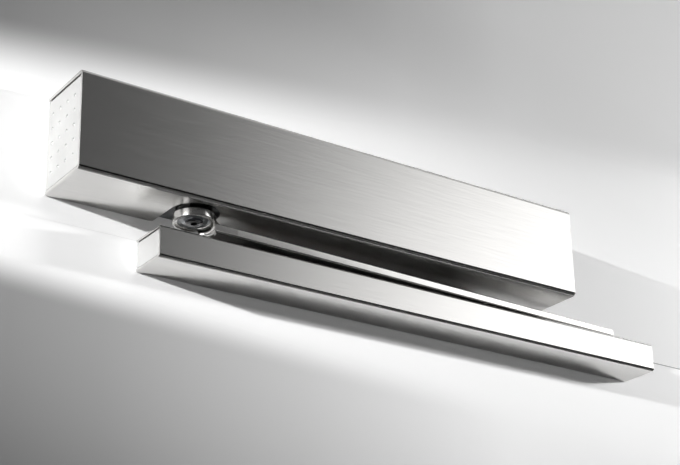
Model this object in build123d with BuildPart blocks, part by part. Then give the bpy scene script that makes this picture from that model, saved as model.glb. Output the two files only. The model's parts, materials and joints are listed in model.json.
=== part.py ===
"""Overhead door closer with a lever arm that runs in a slide rail.

Millimetres. The origin lies on the face of the door frame, straight behind the
spindle, at the height of the cylinder's axis. +X runs along the closer towards
the lock side of the door, +Y into the frame and +Z up. "Out" is the distance
from the frame face, against Y.
"""

import os
from math import atan, cos, hypot, pi, radians, sin, sqrt, tan

from build123d import *

os.makedirs("parts", exist_ok=True)

# Running and seating clearances
running_gap = 0.05
seam = 0.2
face_gap = 0.3

# Cover and its end caps
cover_length = 388
cover_height = 65
cover_depth = 46
cover_wall = 2
cover_corner = 1.2
notch_gap = 2.4
cap_thickness = 2.5
cap_inset = 0.4
cap_rim_depth = 5
cap_rim_wall = 1.6
dimple_radius = 1.1
dimple_depth = 0.8
dimple_columns = 4
dimple_rows = 5
dimple_edge_margin = 12.9
dimple_front_margin = 10.5

# Mounting plate, its clips and rivets
plate_thickness = 4
plate_side_gap = 2.5
plate_corner = 3
plate_end_gap = 8
fixing_radius = 2.75
fixing_head_radius = 5.2
fixing_end_margin = 9
fixing_side_margin = 14
clip_thickness = 1
clip_width = 14
clip_reach = 15
clip_foot = 9
clip_lip = 3
rivet_edge_margin = 4
rivet_radius = 2
rivet_head_radius = 3.2
rivet_head_height = 1.2

# Cast housing, seated in the cover's inside
housing_wall = 3.6
housing_left_room = 27.5
housing_right_room = 48.5
tube_front_gap = 0.9
tube_rear_gap = 1.9
head_plug_gap = 2
head_wall = 12.5
head_side_gap = 2.5
head_front_gap = 0.5
boss_wall = 5.5
boss_side_gap = 1.5
pad_height = 26
lug_length = 14
lug_depth = 10
lug_side_gap = 2
lug_screw_margin = 5.5
rib_thickness = 4
rib_height = 40
rib_count = 4
casting_radius = 2.5
housing_screw_radius = 3
screw_head_radius = 5
screw_head_height = 6
screw_socket = 5

# End plugs and their ring seals
plug_thread_depth = 1.5
left_plug_length = 12
right_plug_length = 14
plug_socket = 12
ring_section = 1.2
ring_groove_width = 2.8
ring_sides = 8

# Spindle, bearings and seals
journal_radius = 6.5
bearing_radius = 11.5
bearing_in_bore = 1.8
boss_lip = 3.1
square_across = 9.8
top_square_length = 1
seal_height = 2.3
retaining_ring_height = 1
retaining_ring_grip = 0.7
lever_screw_radius = 4
lever_screw_depth = 17

# Rack and pinion
gear_module = 1.5
pinion_teeth = 11
pressure_angle = radians(25)
swing_angle = radians(150)
tooth_addendum = 1.2
tooth_dedendum = 1.6
backlash = 0.12
tooth_embed = 1
rack_first_tooth = -6
rack_last_tooth = 1

# Piston
piston_end_gap = 4
piston_head_length = 10.5
piston_foot_length = 15.5
window_rest_gap = 3.05
window_open_gap = 4.45
window_side_gap = 0.75
piston_ring_width = 2.4
piston_ring_depth = 1.4
spigot_gap = 0.8
spigot_length = 4
valve_bore_radius = 1.6
valve_chamber_radius = 3.4
valve_chamber_length = 11
check_ball_radius = 2.8
retainer_length = 3.5

# Closing spring
wire_radius = 2
wire_sides = 6
spring_side_gap = 1
spring_turns = 13
dead_turns = 1
dead_gap = 0.6
arcs_per_turn = 4

# Spring seat and adjusting screw
seat_thickness = 6
seat_to_plug = 32
adjust_travel = 10
adjust_radius = 5
adjust_collar_radius = 7.5
adjust_collar_width = 3.5
adjust_socket = 5

# Valve screws
valve_radius = 3.5
valve_length = 14
valve_socket = 3
valve_side_margin = 7
latching_valve_place = 9
backcheck_valve_place = 17
closing_valve_place = 24

# Lever arm
eye_radius = 13.6
eye_drop = 6.8
eye_shoulder_drop = 1
eye_collar_radius = 10.5
eye_round = 0.9
housing_to_eye = 1
eye_recess_radius = 10.2
eye_recess_depth = 2.6
cove_radius = 3.5
bar_thickness = 5.4
bar_drop = 7.4
bar_root_half_width = 10
bar_end_half_width = 5.4
bar_root_x = 26
bar_round = 0.9
neck_reach = 16
neck_draft = 30
washer_thickness = 1.2
lever_head_radius = 5.8
lever_head_height = 1.6
lever_head_edge = 0.5
lever_socket = 4
lever_socket_depth = 3

# Slide rail
rail_offset = 63
rail_length = 414
rail_depth = 30
rail_height = 21
rail_drop = 15
rail_sheet = 1.5
rail_corner = 1
rail_cap_thickness = 2
rail_lip = 2.3
rail_floor = 3.5
rail_wall = 8.5
slot_gap = 1
rail_screw_inset = 11
rail_head_access_radius = 5
block_length = 11
cap_spigot_length = 2.5

# Slide block and pin
pin_rest_inset = 33.5
pin_radius = 3
pin_head_radius = 4.6
pin_head_height = 1.2
pin_socket = 3
pin_socket_depth = 2
slide_block_length = 24
slide_block_gap = 0.3
slide_block_floor_gap = 3.1

# Mechanism, worked out from the pinion outwards
pitch_radius = gear_module * pinion_teeth / 2
tooth_pitch = pi * gear_module
tip_radius = pitch_radius + tooth_addendum
piston_stroke = pitch_radius * swing_angle
window_right = tip_radius + window_rest_gap
window_left = -piston_stroke - tip_radius - window_open_gap
window_side = tip_radius + window_side_gap
piston_left = window_left - piston_head_length
piston_right = window_right + piston_foot_length

# Places along the closer
housing_left = piston_left - piston_end_gap - left_plug_length
cover_left = housing_left - housing_left_room
cover_right = cover_left + cover_length
housing_right = cover_right - housing_right_room
plate_left = cover_left + plate_end_gap
plate_right = cover_right - plate_end_gap
plate_middle = (plate_left + plate_right) / 2
fixing_spacing_x = plate_right - plate_left - 2 * fixing_end_margin
lug_screw_x = (housing_left + lug_length / 2, housing_right - lug_length / 2)
head_left = housing_left + left_plug_length + head_plug_gap
head_right = bearing_radius + head_wall
latching_valve_x = head_left + latching_valve_place
backcheck_valve_x = head_left + backcheck_valve_place
closing_valve_x = head_left + closing_valve_place
spring_end = housing_right - right_plug_length - seat_to_plug - seat_thickness

# Places out from the frame, and radii about the cylinder's axis
tube_radius = (cover_depth - cover_wall - tube_front_gap - plate_thickness - tube_rear_gap) / 2
spindle_out = plate_thickness + tube_rear_gap + tube_radius
head_front = cover_depth - cover_wall - head_front_gap
lug_front = plate_thickness + lug_depth
bore_radius = tube_radius - housing_wall
plug_radius = bore_radius + plug_thread_depth
piston_radius = bore_radius - running_gap
spring_radius = bore_radius - spring_side_gap - wire_radius
spigot_radius = spring_radius - wire_radius - spigot_gap

# Heights
cover_bottom = -cover_height / 2
cover_inner_half = cover_height / 2 - cover_wall
plate_height = 2 * (cover_inner_half - plate_side_gap)
fixing_spacing_z = plate_height - 2 * fixing_side_margin
head_height = 2 * (cover_inner_half - head_side_gap)
boss_radius = bearing_radius + boss_wall
boss_height = 2 * (cover_inner_half - boss_side_gap)
ring_seat = boss_height / 2 - boss_lip - retaining_ring_height
seal_end = ring_seat - seam
seal_start = seal_end - seal_height
bearing_end = seal_start - seam
bearing_start = bore_radius - bearing_in_bore
pinion_height = 2 * (bearing_start - seam)
lug_height = 2 * (cover_inner_half - lug_side_gap)
housing_screw_spacing_z = lug_height - 2 * lug_screw_margin
valve_height = head_height / 2 - valve_side_margin
eye_top = -boss_height / 2 - housing_to_eye
eye_shoulder = cover_bottom - eye_shoulder_drop
eye_bottom = cover_bottom - eye_drop
bar_top = cover_bottom - bar_drop
bar_bottom = bar_top - bar_thickness
dimple_pitch = (cover_height - 2 * dimple_edge_margin) / (dimple_rows - 1)
dimple_grid_out = cover_depth - dimple_front_margin - (dimple_columns - 1) * dimple_pitch / 2

# Rail, block and pin
rail_left = cover_left + rail_offset
rail_right = rail_left + rail_length
rail_top = cover_bottom - rail_drop
rail_bottom = rail_top - rail_height
profile_left = rail_left + cap_inset + rail_cap_thickness + seam
profile_right = rail_right - cap_inset - rail_cap_thickness - seam
profile_top = rail_top - rail_sheet - seam / 2
profile_bottom = rail_bottom + rail_sheet + seam / 2
profile_depth = rail_depth - rail_sheet - seam / 2
channel_top = profile_top - rail_lip
channel_bottom = profile_bottom + rail_floor
channel_height = channel_top - channel_bottom
channel_width = rail_depth - 2 * rail_wall
slot_width = 2 * (pin_radius + slot_gap)
slot_left = profile_left + 2 * rail_screw_inset
slot_right = profile_right - rail_screw_inset
pin_x = rail_right - pin_rest_inset
pin_out = rail_depth / 2
arm_length = hypot(pin_x, spindle_out - pin_out)
slide_block_top = channel_top - slide_block_gap
slide_block_bottom = channel_bottom + slide_block_floor_gap
slide_block_height = slide_block_top - slide_block_bottom

# Planes. A profile plane has its local X along the axis that its outline turns about.
spindle_plane = Plane(origin=(0, -spindle_out, 0), x_dir=(1, 0, 0), z_dir=(0, 0, 1))
arm_plane = Plane(origin=(0, -spindle_out, 0), x_dir=(pin_x, spindle_out - pin_out, 0), z_dir=(0, 0, 1))
spindle_profile = Plane(origin=(0, -spindle_out, 0), x_dir=(0, 0, 1), z_dir=(0, 1, 0))
cylinder_profile = Plane(origin=(0, -spindle_out, 0), x_dir=(1, 0, 0), z_dir=(0, 0, 1))
cylinder_plane = Plane(origin=(0, -spindle_out, 0), x_dir=(0, 1, 0), z_dir=(1, 0, 0))
pin_profile = Plane(origin=(pin_x, -pin_out, 0), x_dir=(0, 0, 1), z_dir=(0, 1, 0))


def outward_profile(x, z):
    """Profile plane of a piece that turns about an axis square to the frame face."""
    return Plane(origin=(x, 0, z), x_dir=(0, -1, 0), z_dir=(0, 0, 1))


def turn(profile, outline, mode=Mode.ADD):
    """Turn a half outline of (along, radius) points about the profile plane's local X."""
    with BuildSketch(profile) as half:
        with BuildLine():
            Polyline(*outline, close=True)
        make_face()
    revolve(half.sketch, axis=Axis(profile.origin, profile.x_dir), mode=mode)


def turn_groove(profile, start, width, bottom, outside):
    """Cut a square ring groove."""
    outline = [(start, bottom), (start + width, bottom), (start + width, outside), (start, outside)]
    turn(profile, outline, mode=Mode.SUBTRACT)


def turn_ring(profile, middle, bottom, section):
    """Turn a ring seal that sits on the bottom of its groove."""
    with BuildSketch(profile) as half:
        with Locations((middle, bottom + section)):
            RegularPolygon(radius=section, side_count=ring_sides)
    revolve(half.sketch, axis=Axis(profile.origin, profile.x_dir))


def hexagon_socket(plane, across_flats, depth):
    """Cut a hexagon socket into the face on the plane, against its normal."""
    with BuildSketch(plane) as socket:
        RegularPolygon(radius=across_flats / 2, side_count=6, major_radius=False)
    extrude(socket.sketch, amount=-depth, mode=Mode.SUBTRACT)


def box_between(low, high, mode=Mode.ADD):
    """Box from its lowest to its highest corner."""
    with BuildSketch(Plane.XY.offset(low[2])) as footprint:
        with Locations(((low[0] + high[0]) / 2, (low[1] + high[1]) / 2)):
            Rectangle(high[0] - low[0], high[1] - low[1])
    extrude(footprint.sketch, amount=high[2] - low[2], mode=mode)


# Closer body: mounting plate
clip_outside = cover_inner_half - face_gap
clip_x = (plate_left + fixing_end_margin, plate_right - fixing_end_margin)
rivet_z = plate_height / 2 - rivet_edge_margin
with BuildPart() as mounting_plate:
    with BuildSketch(Plane.XZ):
        with Locations((plate_middle, 0)):
            RectangleRounded(plate_right - plate_left, plate_height, plate_corner)
            with GridLocations(fixing_spacing_x, fixing_spacing_z, 2, 2):
                Circle(fixing_radius, mode=Mode.SUBTRACT)
            with GridLocations(fixing_spacing_x, 2 * rivet_z, 2, 2):
                Circle(rivet_radius + running_gap, mode=Mode.SUBTRACT)
        for x in lug_screw_x:
            with Locations((x, 0)):
                with GridLocations(0, housing_screw_spacing_z, 1, 2):
                    Circle(housing_screw_radius + running_gap, mode=Mode.SUBTRACT)
    extrude(amount=plate_thickness)
    sink = fixing_head_radius - fixing_radius
    for x in clip_x:
        for z in (-fixing_spacing_z / 2, fixing_spacing_z / 2):
            turn(
                outward_profile(x, z),
                [
                    (plate_thickness - sink, 0),
                    (plate_thickness - sink, fixing_radius),
                    (plate_thickness, fixing_head_radius),
                    (plate_thickness, 0),
                ],
                mode=Mode.SUBTRACT,
            )
mounting_plate.part.label = "mounting_plate"
export_step(mounting_plate.part, "parts/mounting_plate.step")

# Sprung clips on the plate that hold the cover
clip_tip = plate_thickness + clip_reach
with BuildPart() as cover_clips:
    for x in clip_x:
        for side in (-1, 1):
            with BuildSketch(Plane.YZ.offset(x - clip_width / 2)) as clip_outline:
                with BuildLine():
                    Polyline(
                        (-plate_thickness, side * (clip_outside - clip_thickness - clip_foot)),
                        (-plate_thickness - clip_thickness, side * (clip_outside - clip_thickness - clip_foot)),
                        (-plate_thickness - clip_thickness, side * (clip_outside - clip_thickness)),
                        (-clip_tip, side * (clip_outside - clip_thickness)),
                        (-clip_tip - clip_lip, side * (clip_outside - clip_thickness - clip_lip)),
                        (-clip_tip - clip_lip - clip_thickness, side * (clip_outside - clip_lip)),
                        (-clip_tip - clip_thickness, side * clip_outside),
                        (-plate_thickness, side * clip_outside),
                        close=True,
                    )
                make_face()
            extrude(clip_outline.sketch, amount=clip_width)
    with BuildSketch(Plane.XZ) as rivet_holes:
        with Locations((plate_middle, 0)):
            with GridLocations(fixing_spacing_x, 2 * rivet_z, 2, 2):
                Circle(rivet_radius + running_gap)
    extrude(rivet_holes.sketch, amount=plate_thickness + 2 * clip_thickness, mode=Mode.SUBTRACT)
cover_clips.part.label = "cover_clips"
export_step(cover_clips.part, "parts/cover_clips.step")

with BuildPart() as clip_rivets:
    rivet_seat = plate_thickness + clip_thickness
    for x in clip_x:
        for z in (-rivet_z, rivet_z):
            turn(
                outward_profile(x, z),
                [
                    (face_gap, 0),
                    (face_gap, rivet_radius),
                    (rivet_seat, rivet_radius),
                    (rivet_seat, rivet_head_radius),
                    (rivet_seat + rivet_head_height / 2, rivet_head_radius),
                    (rivet_seat + rivet_head_height, rivet_head_radius / 2),
                    (rivet_seat + rivet_head_height, 0),
                ],
            )
clip_rivets.part.label = "clip_rivets"
export_step(clip_rivets.part, "parts/clip_rivets.step")

# Cast housing: tube, valve head, bearing bosses, pad, ribs and lugs
with BuildPart() as closer_housing:
    box_between(
        (head_left, -head_front, -head_height / 2),
        (head_right, -plate_thickness, head_height / 2),
    )
    fillet(closer_housing.faces().sort_by(Axis.Y)[0].edges(), casting_radius)
    with BuildSketch(cylinder_plane.offset(housing_left)) as tube:
        Circle(tube_radius)
    extrude(tube.sketch, amount=housing_right - housing_left)
    with BuildSketch(spindle_plane.offset(-boss_height / 2)) as bosses:
        Circle(boss_radius)
    extrude(bosses.sketch, amount=boss_height)
    box_between(
        (housing_left, -spindle_out, -pad_height / 2),
        (housing_right, -plate_thickness, pad_height / 2),
    )
    rib_step = (lug_screw_x[1] - head_right) / (rib_count + 1)
    for i in range(rib_count):
        rib_x = head_right + (i + 1) * rib_step
        box_between(
            (rib_x - rib_thickness / 2, -spindle_out, -rib_height / 2),
            (rib_x + rib_thickness / 2, -plate_thickness, rib_height / 2),
        )
    for x in lug_screw_x:
        box_between(
            (x - lug_length / 2, -lug_front, -lug_height / 2),
            (x + lug_length / 2, -plate_thickness, lug_height / 2),
        )
        with BuildSketch(Plane.XZ.offset(plate_thickness)) as lug_holes:
            with Locations((x, 0)):
                with GridLocations(0, housing_screw_spacing_z, 1, 2):
                    Circle(housing_screw_radius + seam)
        extrude(lug_holes.sketch, amount=lug_depth, mode=Mode.SUBTRACT)
        with BuildSketch(Plane.XZ.offset(lug_front)) as head_clearance:
            with Locations((x, 0)):
                with GridLocations(0, housing_screw_spacing_z, 1, 2):
                    Circle(screw_head_radius + face_gap)
        extrude(head_clearance.sketch, amount=head_front - lug_front, mode=Mode.SUBTRACT)
    with BuildSketch(cylinder_plane.offset(housing_left)) as bore:
        Circle(bore_radius)
    extrude(bore.sketch, amount=housing_right - housing_left, mode=Mode.SUBTRACT)
    with BuildSketch(cylinder_plane.offset(housing_left)) as left_thread:
        Circle(plug_radius)
    extrude(left_thread.sketch, amount=left_plug_length, mode=Mode.SUBTRACT)
    with BuildSketch(cylinder_plane.offset(housing_right)) as right_thread:
        Circle(plug_radius)
    extrude(right_thread.sketch, amount=-right_plug_length, mode=Mode.SUBTRACT)
    with BuildSketch(spindle_plane.offset(-boss_height / 2)) as spindle_bore:
        Circle(bearing_radius)
    extrude(spindle_bore.sketch, amount=boss_height, mode=Mode.SUBTRACT)
    for side in (-1, 1):
        turn(
            spindle_profile,
            [
                (side * ring_seat, 0),
                (side * ring_seat, bearing_radius + retaining_ring_grip),
                (side * (ring_seat + retaining_ring_height), bearing_radius + retaining_ring_grip),
                (side * (ring_seat + retaining_ring_height), 0),
            ],
            mode=Mode.SUBTRACT,
        )
    for x, side in (
        (closing_valve_x, -1),
        (latching_valve_x, -1),
        (backcheck_valve_x, 1),
    ):
        with BuildSketch(Plane.XZ.offset(head_front)) as valve_bore:
            with Locations((x, side * valve_height)):
                Circle(valve_radius)
        extrude(valve_bore.sketch, amount=-valve_length - seam, mode=Mode.SUBTRACT)
closer_housing.part.label = "closer_housing"
export_step(closer_housing.part, "parts/closer_housing.step")

with BuildPart() as housing_screws:
    for x in lug_screw_x:
        for side in (-1, 1):
            z = side * housing_screw_spacing_z / 2
            turn(
                outward_profile(x, z),
                [
                    (face_gap, 0),
                    (face_gap, housing_screw_radius),
                    (lug_front, housing_screw_radius),
                    (lug_front, screw_head_radius),
                    (lug_front + screw_head_height - seam, screw_head_radius),
                    (lug_front + screw_head_height, screw_head_radius - seam),
                    (lug_front + screw_head_height, 0),
                ],
            )
            socket_plane = Plane(origin=(x, -lug_front - screw_head_height, z), z_dir=(0, -1, 0))
            hexagon_socket(socket_plane, screw_socket, screw_head_height / 2)
housing_screws.part.label = "housing_screws"
export_step(housing_screws.part, "parts/housing_screws.step")

# End plugs with their ring seals
plug_fit = plug_radius - running_gap
groove_bottom = plug_fit - 2 * ring_section - running_gap
left_groove = housing_left + left_plug_length / 2
with BuildPart() as left_end_plug:
    turn(
        cylinder_profile,
        [
            (housing_left, 0),
            (housing_left, plug_fit - seam),
            (housing_left + seam, plug_fit),
            (housing_left + left_plug_length, plug_fit),
            (housing_left + left_plug_length, 0),
        ],
    )
    turn_groove(cylinder_profile, left_groove, ring_groove_width, groove_bottom, plug_radius)
    hexagon_socket(Plane(origin=(housing_left, -spindle_out, 0), z_dir=(-1, 0, 0)), plug_socket, left_plug_length / 2)
left_end_plug.part.label = "left_end_plug"
export_step(left_end_plug.part, "parts/left_end_plug.step")

with BuildPart() as left_plug_seal:
    turn_ring(cylinder_profile, left_groove + ring_groove_width / 2, groove_bottom + running_gap / 2, ring_section)
left_plug_seal.part.label = "left_plug_seal"
export_step(left_plug_seal.part, "parts/left_plug_seal.step")

right_groove = housing_right - right_plug_length / 2
inner_groove_bottom = adjust_radius + 2 * ring_section + 2 * running_gap
with BuildPart() as right_end_plug:
    turn(
        cylinder_profile,
        [
            (housing_right - right_plug_length, adjust_radius + running_gap),
            (housing_right - right_plug_length, plug_fit),
            (housing_right - seam, plug_fit),
            (housing_right, plug_fit - seam),
            (housing_right, adjust_radius + running_gap),
        ],
    )
    turn_groove(cylinder_profile, right_groove, ring_groove_width, groove_bottom, plug_radius)
    turn_groove(cylinder_profile, right_groove, ring_groove_width, 0, inner_groove_bottom)
    with BuildSketch(cylinder_plane.offset(housing_right)) as wrench_holes:
        with PolarLocations((adjust_radius + plug_radius) / 2, 2, start_angle=90):
            Circle(valve_socket / 2)
    extrude(wrench_holes.sketch, amount=-right_plug_length / 3, mode=Mode.SUBTRACT)
right_end_plug.part.label = "right_end_plug"
export_step(right_end_plug.part, "parts/right_end_plug.step")

with BuildPart() as right_plug_seals:
    middle = right_groove + ring_groove_width / 2
    turn_ring(cylinder_profile, middle, groove_bottom + running_gap / 2, ring_section)
    turn_ring(cylinder_profile, middle, inner_groove_bottom - 2 * ring_section - running_gap, ring_section)
right_plug_seals.part.label = "right_plug_seals"
export_step(right_plug_seals.part, "parts/right_plug_seals.step")

# Bearings, shaft seals and retaining rings, below and above the pinion
for side, place in ((-1, "lower"), (1, "upper")):
    with BuildPart() as bearing:
        turn(
            spindle_profile,
            [
                (side * bearing_start, journal_radius + running_gap),
                (side * bearing_start, bearing_radius - running_gap),
                (side * bearing_end, bearing_radius - running_gap),
                (side * bearing_end, journal_radius + running_gap),
            ],
        )
    bearing.part.label = place + "_bearing"
    export_step(bearing.part, "parts/" + place + "_bearing.step")

    with BuildPart() as shaft_seal:
        lip = journal_radius + running_gap
        turn(
            spindle_profile,
            [
                (side * seal_start, lip),
                (side * seal_start, bearing_radius - running_gap),
                (side * seal_end, bearing_radius - running_gap),
                (side * seal_end, lip + seal_height / 2),
                (side * (seal_start + seal_height / 3), lip + seal_height / 2),
                (side * (seal_start + seal_height / 3), lip),
            ],
        )
    shaft_seal.part.label = place + "_shaft_seal"
    export_step(shaft_seal.part, "parts/" + place + "_shaft_seal.step")

with BuildPart() as bearing_retaining_rings:
    for side in (-1, 1):
        start = ring_seat if side > 0 else -ring_seat - retaining_ring_height
        with BuildSketch(spindle_plane.offset(start + running_gap)) as snap_ring:
            Circle(bearing_radius + retaining_ring_grip - running_gap)
            Circle(bearing_radius - 2 * retaining_ring_grip, mode=Mode.SUBTRACT)
            with Locations((-bearing_radius, 0)):
                Rectangle(bearing_radius, 2 * retaining_ring_grip, mode=Mode.SUBTRACT)
        extrude(snap_ring.sketch, amount=retaining_ring_height - 2 * running_gap)
bearing_retaining_rings.part.label = "bearing_retaining_rings"
export_step(bearing_retaining_rings.part, "parts/bearing_retaining_rings.step")

# Spindle with its involute pinion
base_radius = pitch_radius * cos(pressure_angle)
root_radius = pitch_radius - tooth_dedendum
tip_roll = sqrt((tip_radius / base_radius) ** 2 - 1)
base_half_angle = pi / (2 * pinion_teeth) + tan(pressure_angle) - pressure_angle


def flank_point(roll, side):
    """Point on an involute flank of the tooth that lies along local X."""
    radius = base_radius * sqrt(1 + roll**2)
    angle = side * (base_half_angle - roll + atan(roll))
    return (radius * cos(angle), radius * sin(angle))


with BuildSketch() as pinion_tooth:
    with BuildLine():
        flanks = []
        for side in (-1, 1):
            flank = Spline(*[flank_point(tip_roll * i / 4, side) for i in range(5)])
            foot = (root_radius - tooth_embed) / base_radius * (flank @ 0)
            Line(foot, flank @ 0)
            flanks.append((foot, flank @ 1))
        ThreePointArc(flanks[0][1], (tip_radius, 0), flanks[1][1])
        Line(flanks[0][0], flanks[1][0])
    make_face()

with BuildPart() as spindle_pinion:
    with BuildSketch(spindle_plane.offset(-pinion_height / 2)) as pinion:
        Circle(root_radius)
        with PolarLocations(0, pinion_teeth, start_angle=90 - 180 / pinion_teeth):
            add(pinion_tooth.sketch)
    extrude(pinion.sketch, amount=pinion_height)
    with BuildSketch(spindle_plane.offset(-boss_height / 2)) as journals:
        Circle(journal_radius)
    extrude(journals.sketch, amount=boss_height)
    for start, length in (
        (eye_bottom + eye_recess_depth, eye_top - eye_bottom - eye_recess_depth + housing_to_eye),
        (boss_height / 2, top_square_length),
    ):
        with BuildSketch(arm_plane.offset(start)) as square_end:
            Circle(journal_radius)
            Rectangle(square_across, square_across, mode=Mode.INTERSECT)
        extrude(square_end.sketch, amount=length)
    with BuildSketch(arm_plane.offset(eye_bottom + eye_recess_depth)) as tapped_hole:
        Circle(lever_screw_radius + running_gap)
    extrude(tapped_hole.sketch, amount=lever_screw_depth, mode=Mode.SUBTRACT)
spindle_pinion.part.label = "spindle_pinion"
export_step(spindle_pinion.part, "parts/spindle_pinion.step")

# Piston with its rack window and check valve seat
rack_line = pitch_radius
rack_tip = rack_line - tooth_addendum
rack_root = rack_line + tooth_dedendum
tooth_half = tooth_pitch / 4 - backlash / 2
tip_half = tooth_half - tooth_addendum * tan(pressure_angle)
root_half = tooth_half + tooth_dedendum * tan(pressure_angle)
with BuildPart() as piston:
    turn(
        cylinder_profile,
        [
            (piston_left, 0),
            (piston_left, piston_radius - seam),
            (piston_left + seam, piston_radius),
            (piston_right, piston_radius),
            (piston_right, spigot_radius),
            (piston_right + spigot_length - seam, spigot_radius),
            (piston_right + spigot_length, spigot_radius - seam),
            (piston_right + spigot_length, 0),
        ],
    )
    window = [(window_right, -window_side), (window_left, -window_side), (window_left, rack_root)]
    for k in range(rack_first_tooth, rack_last_tooth + 1):
        tooth_x = k * tooth_pitch
        window.append((tooth_x - root_half, rack_root))
        window.append((tooth_x - tip_half, rack_tip))
        window.append((tooth_x + tip_half, rack_tip))
        window.append((tooth_x + root_half, rack_root))
    window.append((window_right, rack_root))
    with BuildSketch(spindle_plane.offset(-piston_radius)) as rack_window:
        with BuildLine():
            Polyline(*window, close=True)
        make_face()
    extrude(rack_window.sketch, amount=2 * piston_radius, mode=Mode.SUBTRACT)
    ring_starts = (
        (piston_left + window_left) / 2 - piston_ring_width / 2,
        (window_right + piston_right) / 2 - piston_ring_width / 2,
    )
    for start in ring_starts:
        turn_groove(cylinder_profile, start, piston_ring_width, piston_radius - piston_ring_depth, bore_radius)
    chamber_start = piston_right + spigot_length - valve_chamber_length
    turn(
        cylinder_profile,
        [
            (window_right - seam, 0),
            (window_right - seam, valve_bore_radius),
            (chamber_start - valve_chamber_radius + valve_bore_radius, valve_bore_radius),
            (chamber_start, valve_chamber_radius),
            (piston_right + spigot_length, valve_chamber_radius),
            (piston_right + spigot_length, 0),
        ],
        mode=Mode.SUBTRACT,
    )
piston.part.label = "piston"
export_step(piston.part, "parts/piston.step")

with BuildPart() as piston_rings:
    for start in ring_starts:
        ring_bottom = piston_radius - piston_ring_depth + running_gap
        turn(
            cylinder_profile,
            [
                (start + running_gap, ring_bottom),
                (start + running_gap, piston_radius),
                (start + piston_ring_width - running_gap, piston_radius),
                (start + piston_ring_width - running_gap, ring_bottom),
            ],
        )
piston_rings.part.label = "piston_rings"
export_step(piston_rings.part, "parts/piston_rings.step")

ball_x = chamber_start + check_ball_radius - 2 * running_gap
with BuildPart() as check_valve_ball:
    with BuildSketch(cylinder_profile) as ball_half:
        with Locations((ball_x, 0)):
            Circle(check_ball_radius)
            Rectangle(2 * check_ball_radius, check_ball_radius, align=(Align.CENTER, Align.MIN), mode=Mode.INTERSECT)
    revolve(ball_half.sketch, axis=Axis(cylinder_profile.origin, cylinder_profile.x_dir))
check_valve_ball.part.label = "check_valve_ball"
export_step(check_valve_ball.part, "parts/check_valve_ball.step")

with BuildPart() as check_valve_retainer:
    retainer_start = piston_right + spigot_length - retainer_length
    with BuildSketch(cylinder_plane.offset(retainer_start)) as retainer:
        Circle(valve_chamber_radius - running_gap)
        Circle(valve_bore_radius, mode=Mode.SUBTRACT)
    extrude(retainer.sketch, amount=retainer_length - seam)
check_valve_retainer.part.label = "check_valve_retainer"
export_step(check_valve_retainer.part, "parts/check_valve_retainer.step")

# Closing spring: close turns at both ends
spring_first = piston_right + wire_radius
spring_last = spring_end - wire_radius
dead_pitch = 2 * wire_radius + dead_gap
open_turns = spring_turns - 2 * dead_turns
open_pitch = (spring_last - spring_first - 2 * dead_turns * dead_pitch) / open_turns


def spring_point(turns):
    """Point on the wire's centre line after this many turns."""
    before = min(turns, dead_turns)
    after = max(turns - (spring_turns - dead_turns), 0)
    along = (before + after) * dead_pitch + (turns - before - after) * open_pitch
    angle = 2 * pi * turns
    return Vector(
        spring_first + along,
        -spindle_out + spring_radius * cos(angle),
        spring_radius * sin(angle),
    )


def spring_direction(turns):
    """Unit direction of the centre line there."""
    step = 1 / (2 * arcs_per_turn)
    start = max(turns - step, 0)
    end = min(turns + step, spring_turns)
    angle = 2 * pi * turns
    rise = (spring_point(end).X - spring_point(start).X) / (2 * pi * (end - start))
    return Vector(rise, -spring_radius * sin(angle), spring_radius * cos(angle)).normalized()


def biarc(start, start_direction, end, end_direction):
    """Join two points by two arcs that meet smoothly and leave in the given directions."""
    chord = end - start
    spread = start_direction + end_direction
    turn_back = 2 * (1 - start_direction.dot(end_direction))
    reach = chord.dot(spread)
    handle = (sqrt(reach**2 + turn_back * chord.dot(chord)) - reach) / turn_back
    first_corner = start + start_direction * handle
    second_corner = end - end_direction * handle
    middle = (first_corner + second_corner) / 2
    TangentArc(start, middle, tangent=start_direction)
    TangentArc(middle, end, tangent=second_corner - first_corner)


with BuildPart() as closing_spring:
    with BuildLine() as spring_path:
        for i in range(spring_turns * arcs_per_turn):
            u = i / arcs_per_turn
            v = (i + 1) / arcs_per_turn
            biarc(spring_point(u), spring_direction(u), spring_point(v), spring_direction(v))
    with BuildSketch(Plane(origin=spring_point(0), z_dir=spring_direction(0))):
        RegularPolygon(radius=wire_radius, side_count=wire_sides)
    sweep(clean=False)
closing_spring.part.label = "closing_spring"
export_step(closing_spring.part, "parts/closing_spring.step")

samples_per_turn = 36
samples = [spring_point(i / samples_per_turn) for i in range(spring_turns * samples_per_turn + 1)]
least_gap = min(
    (samples[i] - samples[j]).length
    for i in range(len(samples))
    for j in range(i + samples_per_turn // 2, min(i + 2 * samples_per_turn, len(samples)))
)
print("closing spring, least gap between turns:", round(least_gap - 2 * wire_radius, 2))

# Spring seat and the adjusting screw that draws it
with BuildPart() as spring_seat:
    turn(
        cylinder_profile,
        [
            (spring_end - spigot_length, adjust_radius + running_gap),
            (spring_end - spigot_length, spigot_radius),
            (spring_end, spigot_radius),
            (spring_end, piston_radius),
            (spring_end + seat_thickness, piston_radius),
            (spring_end + seat_thickness, adjust_radius + running_gap),
        ],
    )
spring_seat.part.label = "spring_seat"
export_step(spring_seat.part, "parts/spring_seat.step")

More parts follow.
